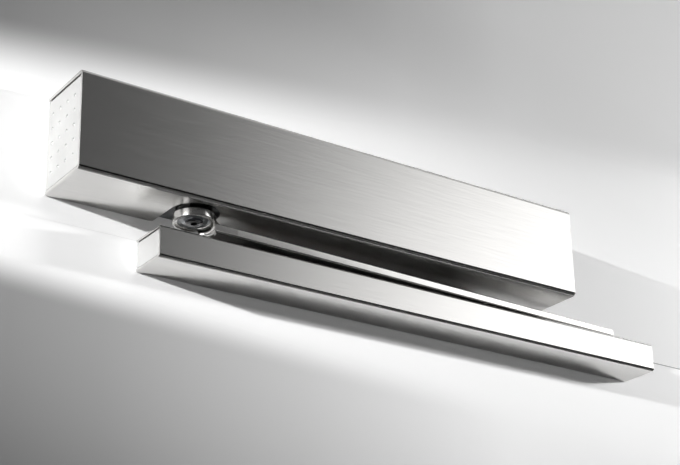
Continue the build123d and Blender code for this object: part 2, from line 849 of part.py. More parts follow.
with BuildPart() as adjusting_screw:
    collar_end = housing_right - right_plug_length - 2 * running_gap
    collar_start = collar_end - adjust_collar_width
    screw_start = spring_end - spigot_length - adjust_travel - seam
    turn(
        cylinder_profile,
        [
            (screw_start, 0),
            (screw_start, adjust_radius - 2 * seam),
            (screw_start + 2 * seam, adjust_radius),
            (collar_start, adjust_radius),
            (collar_start, adjust_collar_radius),
            (collar_end, adjust_collar_radius),
            (collar_end, adjust_radius),
            (housing_right - seam, adjust_radius),
            (housing_right, adjust_radius - seam),
            (housing_right, 0),
        ],
    )
    hexagon_socket(cylinder_plane.offset(housing_right), adjust_socket, right_plug_length / 2)
adjusting_screw.part.label = "adjusting_screw"
export_step(adjusting_screw.part, "parts/adjusting_screw.step")

# Valve screws with their ring seals
valve_fit = valve_radius - running_gap
valve_front = head_front - seam
valve_back = head_front - valve_length
valve_ring = ring_section / 2
valve_groove_bottom = valve_fit - 2 * valve_ring - running_gap
valve_groove = (valve_front + valve_back) / 2
valve_groove_width = 2 * valve_ring + 2 * seam
for name, x, side in (
    ("closing_speed_valve", closing_valve_x, -1),
    ("latching_speed_valve", latching_valve_x, -1),
    ("backcheck_valve", backcheck_valve_x, 1),
):
    profile = outward_profile(x, side * valve_height)
    with BuildPart() as valve_screw:
        turn(
            profile,
            [
                (valve_back, 0),
                (valve_back + valve_fit, valve_fit / 2),
                (valve_back + valve_fit, valve_fit),
                (valve_front - seam, valve_fit),
                (valve_front, valve_fit - seam),
                (valve_front, 0),
            ],
        )
        turn_groove(profile, valve_groove, valve_groove_width, valve_groove_bottom, valve_radius)
        socket_plane = Plane(origin=(x, -valve_front, side * valve_height), z_dir=(0, -1, 0))
        hexagon_socket(socket_plane, valve_socket, valve_socket)
    valve_screw.part.label = name
    export_step(valve_screw.part, "parts/" + name + ".step")

    with BuildPart() as valve_seal:
        turn_ring(profile, valve_groove + valve_groove_width / 2, valve_groove_bottom + running_gap / 2, valve_ring)
    valve_seal.part.label = name + "_seal"
    export_step(valve_seal.part, "parts/" + name + "_seal.step")

# Lever arm: tapered bar, drafted neck and round eye with a cove around its recess
with BuildPart() as lever_arm:
    with BuildSketch(arm_plane.offset(bar_bottom)) as blade:
        with BuildLine():
            Polyline(
                (0, -bar_root_half_width),
                (bar_root_x, -bar_root_half_width),
                (arm_length, -bar_end_half_width),
                (arm_length, bar_end_half_width),
                (bar_root_x, bar_root_half_width),
                (0, bar_root_half_width),
                close=True,
            )
        make_face()
        with Locations((arm_length, 0)):
            Circle(bar_end_half_width)
    extrude(blade.sketch, amount=bar_thickness)
    bar_faces = lever_arm.faces().filter_by(Axis.Z)
    fillet(bar_faces.edges().filter_by(lambda edge: edge.center().X > eye_radius / 2), bar_round)
    with BuildSketch(arm_plane.offset(bar_top - bar_round)) as neck:
        Circle(neck_reach)
        Rectangle(
            neck_reach,
            2 * bar_root_half_width,
            align=(Align.MIN, Align.CENTER),
            mode=Mode.INTERSECT,
        )
    extrude(neck.sketch, amount=eye_shoulder - 2 * eye_round - bar_top + bar_round, taper=neck_draft)
    with BuildSketch(spindle_profile) as eye:
        with BuildLine():
            Polyline(
                (eye_bottom, 0),
                (eye_bottom, eye_radius),
                (eye_shoulder, eye_radius),
                (eye_shoulder, eye_collar_radius),
                (eye_top, eye_collar_radius),
                (eye_top, 0),
                close=True,
            )
        make_face()
        fillet(eye.vertices().sort_by(Axis.Y)[-2:], eye_round)
    revolve(eye.sketch, axis=Axis(spindle_profile.origin, spindle_profile.x_dir))
    cove_top = eye_bottom + eye_round
    cove_reach = eye_recess_radius + cove_radius
    with BuildSketch(spindle_profile) as cove:
        with BuildLine():
            Polyline(
                (bar_bottom, 0),
                (cove_top, 0),
                (cove_top, cove_reach),
                (bar_bottom, cove_reach),
                close=True,
            )
        make_face()
        fillet(cove.vertices().sort_by(Axis.X)[-2:].sort_by(Axis.Y)[-1:], cove_radius)
    revolve(cove.sketch, axis=Axis(spindle_profile.origin, spindle_profile.x_dir), mode=Mode.SUBTRACT)
    turn(
        spindle_profile,
        [
            (eye_bottom, 0),
            (eye_bottom, eye_recess_radius),
            (eye_bottom + eye_recess_depth, eye_recess_radius),
            (eye_bottom + eye_recess_depth, 0),
        ],
        mode=Mode.SUBTRACT,
    )
    with BuildSketch(arm_plane.offset(eye_bottom)) as square_hole:
        Circle(journal_radius + running_gap)
        Rectangle(square_across + 2 * running_gap, square_across + 2 * running_gap, mode=Mode.INTERSECT)
    extrude(square_hole.sketch, amount=eye_top - eye_bottom, mode=Mode.SUBTRACT)
    with BuildSketch(arm_plane.offset(bar_bottom)) as pin_hole:
        with Locations((arm_length, 0)):
            Circle(pin_radius + running_gap)
    extrude(pin_hole.sketch, amount=bar_thickness, mode=Mode.SUBTRACT)
lever_arm.part.label = "lever_arm"
export_step(lever_arm.part, "parts/lever_arm.step")

# Dished washer and screw that hold the lever on the spindle
recess_floor = eye_bottom + eye_recess_depth
washer_face = recess_floor - washer_thickness
with BuildPart() as lever_washer:
    rim = eye_recess_radius - seam
    turn(
        spindle_profile,
        [
            (recess_floor, lever_screw_radius + seam),
            (recess_floor, rim),
            (washer_face, rim),
            (washer_face, rim - washer_thickness / 2),
            (washer_face + washer_thickness / 2, rim - washer_thickness),
            (washer_face + washer_thickness / 2, lever_head_radius + seam),
            (washer_face, lever_head_radius),
            (washer_face, lever_screw_radius + seam),
        ],
    )
lever_washer.part.label = "lever_washer"
export_step(lever_washer.part, "parts/lever_washer.step")

with BuildPart() as lever_screw:
    head_face = washer_face - lever_head_height
    turn(
        spindle_profile,
        [
            (head_face, 0),
            (head_face, lever_head_radius - 2 * lever_head_edge),
            (head_face + lever_head_edge, lever_head_radius - seam),
            (washer_face, lever_head_radius - seam),
            (washer_face, lever_screw_radius),
            (recess_floor + lever_screw_depth - face_gap, lever_screw_radius),
            (recess_floor + lever_screw_depth - face_gap, 0),
        ],
    )
    hexagon_socket(Plane(origin=(0, -spindle_out, head_face), z_dir=(0, 0, -1)), lever_socket, lever_socket_depth)
lever_screw.part.label = "lever_screw"
export_step(lever_screw.part, "parts/lever_screw.step")

# Shoulder pin that turns in the lever's end, and the slide block that it is screwed into
pin_plane = Plane(origin=(pin_x, -pin_out, 0))
with BuildPart() as slide_pin:
    turn(
        pin_profile,
        [
            (slide_block_bottom + slide_block_gap, 0),
            (slide_block_bottom + slide_block_gap, pin_radius - seam),
            (slide_block_bottom + slide_block_gap + seam, pin_radius),
            (bar_top, pin_radius),
            (bar_top, pin_head_radius),
            (bar_top + pin_head_height / 2, pin_head_radius),
            (bar_top + pin_head_height, pin_head_radius - pin_head_height / 2),
            (bar_top + pin_head_height, 0),
        ],
    )
    hexagon_socket(pin_plane.offset(bar_top + pin_head_height), pin_socket, pin_socket_depth)
slide_pin.part.label = "slide_pin"
export_step(slide_pin.part, "parts/slide_pin.step")

slide_block_width = channel_width - 2 * slide_block_gap
with BuildPart() as slide_block:
    with BuildSketch(pin_plane.offset(slide_block_bottom)) as block_face:
        RectangleRounded(slide_block_length, slide_block_width, slide_block_width / 3)
    extrude(block_face.sketch, amount=slide_block_height)
    chamfer(slide_block.faces().sort_by(Axis.Z)[-1].edges(), 2 * slide_block_gap)
    chamfer(slide_block.faces().sort_by(Axis.Z)[0].edges(), 2 * slide_block_gap)
    with BuildSketch(pin_plane.offset(slide_block_bottom)) as block_bore:
        Circle(pin_radius + running_gap)
    extrude(block_bore.sketch, amount=slide_block_height, mode=Mode.SUBTRACT)
slide_block.part.label = "slide_block"
export_step(slide_block.part, "parts/slide_block.step")


def folded_cover(left, right, depth, low, high, sheet, corner):
    """Sheet folded to a U that is open to the rear."""
    with BuildSketch(Plane.YZ.offset(left)) as section:
        with Locations((-depth / 2, (low + high) / 2)):
            Rectangle(depth, high - low)
        fillet(section.vertices().sort_by(Axis.X)[:2], corner)
        with Locations((-(depth - sheet) / 2, (low + high) / 2)):
            Rectangle(depth - sheet, high - low - 2 * sheet, mode=Mode.SUBTRACT)
    extrude(section.sketch, amount=right - left)


# Slide rail: extruded channel, folded cover, end caps and fixing blocks
rail_screw_x = (rail_left + rail_screw_inset, rail_right - rail_screw_inset)
rail_middle_z = (channel_top + channel_bottom) / 2
with BuildPart() as rail_profile:
    with BuildSketch(Plane.YZ.offset(profile_left)) as rail_section:
        with Locations((-profile_depth / 2, (profile_top + profile_bottom) / 2)):
            Rectangle(profile_depth, profile_top - profile_bottom)
        with Locations((-pin_out, rail_middle_z)):
            Rectangle(channel_width, channel_height, mode=Mode.SUBTRACT)
        with Locations((-pin_out, (channel_top + profile_top) / 2)):
            Rectangle(slot_width, profile_top - channel_top, mode=Mode.SUBTRACT)
    extrude(rail_section.sketch, amount=profile_right - profile_left)
    with BuildSketch(Plane.XZ) as rail_fixings:
        for x in rail_screw_x:
            with Locations((x, rail_middle_z)):
                Circle(fixing_radius)
    extrude(rail_fixings.sketch, amount=pin_out, mode=Mode.SUBTRACT)
    with BuildSketch(Plane.XZ.offset(pin_out)) as head_access:
        for x in rail_screw_x:
            with Locations((x, rail_middle_z)):
                Circle(rail_head_access_radius)
    extrude(head_access.sketch, amount=profile_depth - pin_out, mode=Mode.SUBTRACT)
rail_profile.part.label = "rail_profile"
export_step(rail_profile.part, "parts/rail_profile.step")

with BuildPart() as rail_cover:
    folded_cover(rail_left, rail_right, rail_depth, rail_bottom, rail_top, rail_sheet, rail_corner)
    with BuildSketch(Plane.XY.offset(rail_top)) as rail_slot:
        with Locations(((slot_left + slot_right) / 2, -pin_out)):
            SlotOverall(slot_right - slot_left, slot_width + 2 * seam)
    extrude(rail_slot.sketch, amount=-rail_height / 2, mode=Mode.SUBTRACT)
rail_cover.part.label = "rail_cover"
export_step(rail_cover.part, "parts/rail_cover.step")

for name, outer, inward in (("rail_end_cap_left", rail_left, 1), ("rail_end_cap_right", rail_right, -1)):
    cap_face = outer + inward * cap_inset
    cap_back = cap_face + inward * rail_cap_thickness
    spigot_end = cap_back + inward * cap_spigot_length
    half_spigot = channel_width / 2 - seam
    with BuildPart() as rail_end_cap:
        box_between(
            (min(cap_face, cap_back), -profile_depth + seam / 2, profile_bottom + seam / 2),
            (max(cap_face, cap_back), -face_gap, profile_top - seam / 2),
        )
        box_between(
            (min(cap_back, spigot_end), -pin_out - half_spigot, channel_bottom + seam),
            (max(cap_back, spigot_end), -pin_out + half_spigot, channel_top - seam),
        )
    rail_end_cap.part.label = name
    export_step(rail_end_cap.part, "parts/" + name + ".step")

for name, x in zip(("rail_fixing_block_left", "rail_fixing_block_right"), rail_screw_x):
    with BuildPart() as fixing_block:
        box_between(
            (x - block_length / 2, -pin_out - channel_width / 2 + running_gap, channel_bottom + running_gap),
            (x + block_length / 2, -pin_out + channel_width / 2 - running_gap, channel_top - running_gap),
        )
        with BuildSketch(Plane.XZ) as fixing_hole:
            with Locations((x, rail_middle_z)):
                Circle(fixing_radius)
        extrude(fixing_hole.sketch, amount=rail_depth, mode=Mode.SUBTRACT)
    fixing_block.part.label = name
    export_step(fixing_block.part, "parts/" + name + ".step")

# Cover with its notch for the lever's eye, and its two end caps
with BuildPart() as cover:
    folded_cover(cover_left, cover_right, cover_depth, cover_bottom, cover_height / 2, cover_wall, cover_corner)
    notch_radius = eye_radius + notch_gap
    with BuildSketch(Plane.XY.offset(cover_bottom)) as notch:
        with Locations((0, -spindle_out)):
            Circle(notch_radius)
        with Locations((0, -spindle_out / 2)):
            Rectangle(2 * notch_radius, spindle_out)
    extrude(notch.sketch, amount=cover_height / 2, mode=Mode.SUBTRACT)
cover.part.label = "cover"
export_step(cover.part, "parts/cover.step")

cap_half = cover_inner_half - seam
cap_front = cover_depth - cover_wall - seam
for name, outer, inward in (("end_cap_left", cover_left, 1), ("end_cap_right", cover_right, -1)):
    cap_face = outer + inward * cap_inset
    cap_back = cap_face + inward * cap_thickness
    rim_end = cap_back + inward * cap_rim_depth
    with BuildPart() as end_cap:
        box_between(
            (min(cap_face, rim_end), -cap_front, -cap_half),
            (max(cap_face, rim_end), -face_gap, cap_half),
        )
        box_between(
            (min(cap_back, rim_end), -cap_front + cap_rim_wall, -cap_half + cap_rim_wall),
            (max(cap_back, rim_end), 0, cap_half - cap_rim_wall),
            mode=Mode.SUBTRACT,
        )
        with BuildSketch(Plane.YZ.offset(cap_face)) as dimples:
            with Locations((-dimple_grid_out, 0)):
                with GridLocations(dimple_pitch, dimple_pitch, dimple_columns, dimple_rows):
                    Circle(dimple_radius)
        extrude(dimples.sketch, amount=inward * dimple_depth, mode=Mode.SUBTRACT)
    end_cap.part.label = name
    export_step(end_cap.part, "parts/" + name + ".step")
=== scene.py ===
# %% [markdown]
# Overhead door closer with a slide rail.
# The closer's body hangs on the frame above a door, and a cranked lever reaches from its
# spindle to a rail on the door leaf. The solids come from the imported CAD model, in metres:
# X runs along the closer, Y into the wall and Z up. This lesson gives each of them the finish
# that the real part has, models anew the pieces whose edges the eye rests on, and lights the
# closer on a pale wall as in a studio.

# %% Load the frame
import json
import math

import bpy
from mathutils import Matrix, Vector

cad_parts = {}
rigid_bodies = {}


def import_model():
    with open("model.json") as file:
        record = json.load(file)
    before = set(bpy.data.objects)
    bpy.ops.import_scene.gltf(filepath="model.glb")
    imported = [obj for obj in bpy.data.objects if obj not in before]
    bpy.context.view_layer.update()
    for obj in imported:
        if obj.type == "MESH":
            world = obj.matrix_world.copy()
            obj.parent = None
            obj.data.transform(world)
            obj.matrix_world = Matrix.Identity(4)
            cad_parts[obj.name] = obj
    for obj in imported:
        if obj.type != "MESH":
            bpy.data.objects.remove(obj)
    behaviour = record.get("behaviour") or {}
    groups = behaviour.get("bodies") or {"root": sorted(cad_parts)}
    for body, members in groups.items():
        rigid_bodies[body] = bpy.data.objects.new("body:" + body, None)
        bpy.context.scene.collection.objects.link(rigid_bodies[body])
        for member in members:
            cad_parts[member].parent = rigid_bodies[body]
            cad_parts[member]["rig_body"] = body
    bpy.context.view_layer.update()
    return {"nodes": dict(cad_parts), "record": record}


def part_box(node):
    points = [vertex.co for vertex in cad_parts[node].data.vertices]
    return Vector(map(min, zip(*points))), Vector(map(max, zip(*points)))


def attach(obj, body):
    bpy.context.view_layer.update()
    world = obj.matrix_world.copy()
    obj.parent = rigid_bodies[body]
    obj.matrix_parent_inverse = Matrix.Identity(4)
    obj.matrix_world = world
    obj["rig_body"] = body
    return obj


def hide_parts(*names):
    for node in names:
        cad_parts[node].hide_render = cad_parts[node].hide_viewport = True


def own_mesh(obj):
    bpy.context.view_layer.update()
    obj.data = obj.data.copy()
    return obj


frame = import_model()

# %% [markdown]
# Blender works in metres and in linear light, but a maker thinks in millimetres and picks
# colours from a chart in sRGB. Two small helpers keep both ways of thinking: `MM` turns
# millimetres to metres, and `paint` turns a hex colour to the linear value that a shader takes.
# A third one, `node`, adds a shader node with its settings and links in one line, so that a
# material reads from top to bottom like a recipe.

# %% Units, colours and nodes
MM = 0.001


def paint(code):
    """Linear RGBA of an sRGB hex colour."""
    values = [int(code[i : i + 2], 16) / 255 for i in (1, 3, 5)]
    linear = [v / 12.92 if v <= 0.04045 else ((v + 0.055) / 1.055) ** 2.4 for v in values]
    return (*linear, 1.0)


def node(tree, kind, inputs=None, stops=(), **settings):
    """Add a node: its settings, its inputs set or linked, and a ramp's (place, hex colour) stops."""
    made = tree.nodes.new("ShaderNode" + kind)
    for key, value in settings.items():
        setattr(made, key, value)
    for key, value in (inputs or {}).items():
        if isinstance(value, bpy.types.NodeSocket):
            tree.links.new(value, made.inputs[key])
        else:
            made.inputs[key].default_value = value
    if stops:
        elements = made.color_ramp.elements
        while len(elements) < len(stops):
            elements.new(0.5)
        for element, (place, code) in zip(elements, stops):
            element.position = place
            element.color = paint(code)
    return made


def start_material(name):
    """New material: its tree, its Principled shader and Object coordinates."""
    material = bpy.data.materials.new(name)
    material.use_nodes = True
    tree = material.node_tree
    shader = tree.nodes["Principled BSDF"]
    place = node(tree, "TexCoord").outputs["Object"]
    return material, tree, shader, place


print("mid grey #808080 is", round(paint("#808080")[0], 3), "in linear light")

# %% [markdown]
# The cover and the rail's cover are aluminium sheet, ground with a belt along their length and
# then anodised. The belt leaves fine parallel scratches about 0.15 mm apart and some
# centimetres long. Under a lamp they spread the shine across the scratches, up and down on
# the front, and keep it tight along them. A noise that is stretched along X gives the
# scratches, and the shader's anisotropy gives the spread. The folding tool presses the sheet
# smooth where it rounds over, so the fold, known by its normal, mirrors more sharply.

# %% Brushed anodised aluminium
SCRATCH_WIDTH = 0.3 * MM  # real ones are 0.15 mm apart, drawn coarser to show at this distance
SCRATCH_LENGTH = 30 * MM
SCRATCH_DEPTH = 0.002 * MM
CLOUD_SIZE = 45 * MM  # slow change of the shine from one place to the next
FOLD_SHINE = 0.35  # share of the roughness that is left on a fold


def brushed_aluminium(name, colour, dark, roughness):
    """Metal with scratches along X, smoother where its normal points between front and side."""
    material, tree, shader, place = start_material(name)
    stretch = (1 / SCRATCH_LENGTH, 1 / SCRATCH_WIDTH, 1 / SCRATCH_WIDTH)
    along = node(tree, "Mapping", {"Vector": place, "Scale": stretch}).outputs["Vector"]
    grain = {"Vector": along, "Scale": 1.0, "Detail": 3.0, "Roughness": 0.6}
    scratches = node(tree, "TexNoise", grain).outputs["Fac"]
    tone = node(tree, "ValToRGB", {"Fac": scratches}, stops=[(0.36, dark), (0.62, colour)])
    tree.links.new(tone.outputs["Color"], shader.inputs["Base Color"])

    spread = {"Value": scratches, "To Min": roughness - 0.02, "To Max": roughness + 0.02}
    rough = node(tree, "MapRange", spread).outputs["Result"]
    clouds = node(tree, "TexNoise", {"Vector": place, "Scale": 1 / CLOUD_SIZE, "Detail": 2.0}).outputs["Fac"]
    drift = node(tree, "MapRange", {"Value": clouds, "To Min": -0.01, "To Max": 0.01}).outputs["Result"]
    rough = node(tree, "Math", {0: rough, 1: drift}, operation="ADD").outputs["Value"]
    facing = node(tree, "SeparateXYZ", {"Vector": node(tree, "TexCoord").outputs["Normal"]}).outputs
    fold = node(tree, "Math", {0: facing["Y"], 1: facing["Z"]}, operation="MULTIPLY").outputs["Value"]
    fold = node(tree, "Math", {0: fold}, operation="ABSOLUTE").outputs["Value"]
    shine = {"Value": fold, "From Min": 0.04, "From Max": 0.3, "To Min": 1.0, "To Max": FOLD_SHINE}
    shine = node(tree, "MapRange", shine).outputs["Result"]
    rough = node(tree, "Math", {0: rough, 1: shine}, operation="MULTIPLY").outputs["Value"]
    tree.links.new(rough, shader.inputs["Roughness"])

    bump = node(tree, "Bump", {"Height": scratches, "Distance": SCRATCH_DEPTH, "Strength": 0.25})
    tree.links.new(bump.outputs["Normal"], shader.inputs["Normal"])
    tangent = node(
        tree, "VectorTransform", {"Vector": (1.0, 0.0, 0.0)},
        vector_type="VECTOR", convert_from="OBJECT", convert_to="WORLD",
    )
    tree.links.new(tangent.outputs["Vector"], shader.inputs["Tangent"])
    shader.inputs["Anisotropic"].default_value = 0.45
    shader.inputs["Anisotropic Rotation"].default_value = 0.25
    shader.inputs["Metallic"].default_value = 1.0
    return material


cover_metal = brushed_aluminium("brushed_anodised_aluminium", "#E8E7E5", "#DDDCDA", 0.22)
print(cover_metal.name, "scratched", round(SCRATCH_LENGTH / MM), "mm long")

# %% [markdown]
# Small metal pieces are turned, pressed or cast. The rings on a turned piece are too fine to
# show from here and only soften its shine, a zinc-plated pressing has soft blotches, and a
# casting is grainy under its paint. One recipe serves them all: a metal with two noises, a fine
# one for the grain and a coarse one for the blotches, each at a real size.

# %% Plated, turned and cast metal
BLOTCH_SIZE = 14 * MM


def plain_metal(name, colour, dark, roughness, grain, bump_height, metallic=1.0):
    """Metal with blotches in its colour and grain in its shine and skin."""
    material, tree, shader, place = start_material(name)
    fine = node(tree, "TexNoise", {"Vector": place, "Scale": 1 / grain, "Detail": 4.0}).outputs["Fac"]
    coarse = node(tree, "TexNoise", {"Vector": place, "Scale": 1 / BLOTCH_SIZE, "Detail": 3.0}).outputs["Fac"]
    tone = node(tree, "ValToRGB", {"Fac": coarse}, stops=[(0.35, dark), (0.65, colour)])
    tree.links.new(tone.outputs["Color"], shader.inputs["Base Color"])
    rough = {"Value": fine, "To Min": 0.8 * roughness, "To Max": 1.2 * roughness}
    tree.links.new(node(tree, "MapRange", rough).outputs["Result"], shader.inputs["Roughness"])
    bump = node(tree, "Bump", {"Height": fine, "Distance": bump_height, "Strength": 0.5})
    tree.links.new(bump.outputs["Normal"], shader.inputs["Normal"])
    shader.inputs["Metallic"].default_value = metallic
    return material


finishes = {
    "cover_silver": cover_metal,
    "rail_cover_silver": cover_metal,
    "rail_aluminium": plain_metal("mill_finish_aluminium", "#C9C9C8", "#B6B6B5", 0.34, 0.5 * MM, 0.004 * MM),
    "zinc_plate": plain_metal("bright_zinc_plate", "#C3C6C8", "#AEB2B6", 0.3, 0.8 * MM, 0.006 * MM),
    "zinc_screw": plain_metal("bright_zinc_screw", "#CDCFD0", "#B9BCBF", 0.26, 0.6 * MM, 0.004 * MM),
    "spring_steel": plain_metal("spring_steel", "#8E9094", "#75777B", 0.36, 0.5 * MM, 0.004 * MM),
    "cast_housing": plain_metal("painted_grey_iron", "#9A9C9E", "#8D8F91", 0.5, 1.1 * MM, 0.06 * MM, 0.55),
    "machined_steel": plain_metal("turned_steel", "#B9BABC", "#A3A5A8", 0.24, 0.4 * MM, 0.003 * MM),
    "bearing_steel": plain_metal("ground_bearing_steel", "#CBCCCE", "#BDBEC0", 0.14, 0.3 * MM, 0.002 * MM),
    "spring_wire": plain_metal("tempered_spring_wire", "#5E6064", "#4C4E52", 0.34, 0.5 * MM, 0.003 * MM),
    "arm_paint": plain_metal("polished_nickel_lever", "#ECEBE9", "#E2E1DF", 0.17, 0.7 * MM, 0.001 * MM),
    "black_screw": plain_metal("nickelled_screw", "#A2A3A5", "#8E8F92", 0.2, 0.4 * MM, 0.002 * MM),
    "pin_steel": plain_metal("ground_pin_steel", "#5A5B5D", "#4A4B4E", 0.25, 0.4 * MM, 0.002 * MM),
    "ring_bronze": plain_metal("filled_bronze", "#A98656", "#96744A", 0.38, 0.4 * MM, 0.003 * MM),
    "valve_brass": plain_metal("turned_brass", "#C9AE6B", "#B79A58", 0.24, 0.4 * MM, 0.003 * MM),
}
print(len(finishes), "slots have a metal")

# %% [markdown]
# The end caps are moulded ABS, lacquered silver grey to match the cover. Moulded plastic has
# the fine even grain of its spark-eroded mould and a soft wide shine. Black acetal and rubber
# are the same recipe, darker, the rubber duller.

# %% Moulded plastic and rubber
HAZE_SIZE = 20 * MM


def moulded(name, colour, dark, roughness, grain, bump_height, metallic=0.0):
    """Plastic or rubber with the grain of its mould; a silver lacquer makes it partly metallic."""
    material, tree, shader, place = start_material(name)
    skin = node(tree, "TexVoronoi", {"Vector": place, "Scale": 1 / grain}).outputs["Distance"]
    haze = node(tree, "TexNoise", {"Vector": place, "Scale": 1 / HAZE_SIZE, "Detail": 3.0}).outputs["Fac"]
    tone = node(tree, "ValToRGB", {"Fac": haze}, stops=[(0.3, dark), (0.7, colour)])
    tree.links.new(tone.outputs["Color"], shader.inputs["Base Color"])
    rough = {"Value": skin, "To Min": roughness - 0.04, "To Max": roughness + 0.05}
    tree.links.new(node(tree, "MapRange", rough).outputs["Result"], shader.inputs["Roughness"])
    bump = node(tree, "Bump", {"Height": skin, "Distance": bump_height, "Strength": 0.4})
    tree.links.new(bump.outputs["Normal"], shader.inputs["Normal"])
    shader.inputs["Metallic"].default_value = metallic
    shader.inputs["IOR"].default_value = 1.5
    return material


plastics = {
    "cap_plastic": moulded("silver_lacquered_abs", "#B6B6B5", "#AEAEAD", 0.4, 0.4 * MM, 0.012 * MM, 0.35),
    "block_plastic": moulded("black_acetal", "#1D1D1F", "#161618", 0.38, 0.5 * MM, 0.008 * MM),
    "seal_rubber": moulded("nitrile_rubber", "#141414", "#0E0E0E", 0.62, 0.4 * MM, 0.01 * MM),
}
finishes.update(plastics)
print(len(plastics), "slots have a plastic or rubber")

# %% [markdown]
# Each solid of the CAD model says in its record which finish it has. The plain colour that it
# came with makes way for that finish, so that also the pieces under the cover are dressed when
# the cover comes off.

# %% Dress the CAD nodes
slot_of = {part["node"]: part["material_slot"] for part in frame["record"]["subparts"]}
for name, piece in frame["nodes"].items():
    piece.data.materials.clear()
    piece.data.materials.append(finishes[slot_of[name]])
print(len(frame["nodes"]), "nodes dressed in", len(set(slot_of.values())), "finishes")

# %% [markdown]
# The pieces whose edges the eye rests on are modelled anew, as by hand. `block` stretches a
# cube between two corners in millimetres, `cut` takes one piece out of another with a Boolean,
# `round_edges` breaks the sharp edges and smooths the rest, and `stand_in` puts a finished
# piece in the place of its CAD node: on the same body, with the same finish.

# %% Ways to make a piece
ROUND_ANGLE = math.radians(30)  # edges flatter than this are shaded as one round skin
BREAK_ANGLE = math.radians(40)  # edges sharper than this are broken


def pick_only(*pieces):
    """In object mode, deselect all, then select these pieces, the last one active."""
    if bpy.context.mode != "OBJECT":
        bpy.ops.object.mode_set(mode="OBJECT")
    bpy.ops.object.select_all(action="DESELECT")
    for piece in pieces:
        piece.select_set(True)
        bpy.context.view_layer.objects.active = piece


def choose(piece, kind, passes):
    """In edit mode, select the faces, edges or vertices whose middle and direction pass a test."""
    pick_only(piece)
    bpy.ops.object.mode_set(mode="EDIT")
    bpy.ops.mesh.select_mode(type=kind)
    bpy.ops.mesh.select_all(action="DESELECT")
    bpy.ops.object.mode_set(mode="OBJECT")
    mesh = piece.data
    if kind == "FACE":
        for face in mesh.polygons:
            face.select = passes(face.center, face.normal)
    elif kind == "EDGE":
        for edge in mesh.edges:
            start, end = (mesh.vertices[i].co for i in edge.vertices)
            edge.select = passes((start + end) / 2, (end - start).normalized())
    else:
        for vertex in mesh.vertices:
            vertex.select = passes(vertex.co, vertex.normal)
    bpy.ops.object.mode_set(mode="EDIT")


def block(name, low, high):
    """Cube stretched between two corners, in mm, with its object at the origin."""
    pick_only()
    bpy.ops.mesh.primitive_cube_add(size=1, location=(0, 0, 0))
    piece = bpy.context.object
    piece.name = name
    bpy.ops.object.mode_set(mode="EDIT")
    bpy.ops.transform.resize(value=[(b - a) * MM for a, b in zip(low, high)], center_override=(0, 0, 0))
    bpy.ops.transform.translate(value=[(a + b) / 2 * MM for a, b in zip(low, high)])
    bpy.ops.object.mode_set(mode="OBJECT")
    return piece


def apply_modifier(piece, kind, **settings):
    """Add a modifier with its settings and apply it."""
    pick_only(piece)
    made = piece.modifiers.new("step", kind)
    for key, value in settings.items():
        setattr(made, key, value)
    bpy.ops.object.modifier_apply(modifier=made.name)


def cut(piece, cutter):
    """Take the cutter's shape out of the piece, and delete the cutter."""
    apply_modifier(piece, "BOOLEAN", operation="DIFFERENCE", solver="EXACT", object=cutter)
    bpy.data.objects.remove(cutter, do_unlink=True)


def slot_cutter(radius, start, end, low, high):
    """Upright pin, one half of it drawn out from start to end, in mm: a round-ended slot."""
    pick_only()
    depth = (high - low) * MM
    bpy.ops.mesh.primitive_cylinder_add(vertices=64, radius=radius * MM, depth=depth, location=(0, 0, 0))
    cutter = bpy.context.object
    run = Vector((end[0] - start[0], end[1] - start[1], 0))
    choose(cutter, "VERT", lambda place, normal: place.dot(run) > 1e-6)
    bpy.ops.transform.translate(value=run * MM)
    bpy.ops.mesh.select_all(action="SELECT")
    bpy.ops.transform.translate(value=(start[0] * MM, start[1] * MM, (low + high) / 2 * MM))
    bpy.ops.object.mode_set(mode="OBJECT")
    return cutter


def round_edges(piece, width):
    """Break the sharp edges by a width in mm, close the skin, and smooth what is round."""
    if width:
        apply_modifier(
            piece, "BEVEL", limit_method="ANGLE", angle_limit=BREAK_ANGLE, width=width * MM, segments=2
        )
    pick_only(piece)
    bpy.ops.object.mode_set(mode="EDIT")
    bpy.ops.mesh.select_all(action="SELECT")
    bpy.ops.mesh.remove_doubles(threshold=0.001 * MM)
    bpy.ops.mesh.normals_make_consistent(inside=False)
    bpy.ops.object.mode_set(mode="OBJECT")
    bpy.ops.object.shade_smooth_by_angle(angle=ROUND_ANGLE)
    apply_modifier(piece, "WEIGHTED_NORMAL", keep_sharp=True, weight=100)


def stand_in(piece, name):
    """Put a finished piece in the place of a CAD node."""
    piece.data.materials.clear()
    piece.data.materials.append(finishes[slot_of[name]])
    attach(piece, frame["nodes"][name]["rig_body"])
    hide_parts(name)
    size = [round(v / MM, 1) for v in piece.dimensions]
    print(piece.name, "for", name, size, "mm,", len(piece.data.polygons), "faces")


print("nodes that a new piece can stand in for:", len(frame["nodes"]))


# %% [markdown]
# The cover is one aluminium sheet, folded to a U, and so is the cover of the rail. A sheet of
# 2 mm can't fold to a knife edge: it rounds over about its own thickness, and that round shows
# as a dark line below the bright front. A block loses its rear and its ends, its two front
# edges are rounded by a bevel, Solidify gives the sheet its thickness inwards, and a Boolean
# cuts the notch for the lever's eye and the slot for the pin.

# %% Folded covers


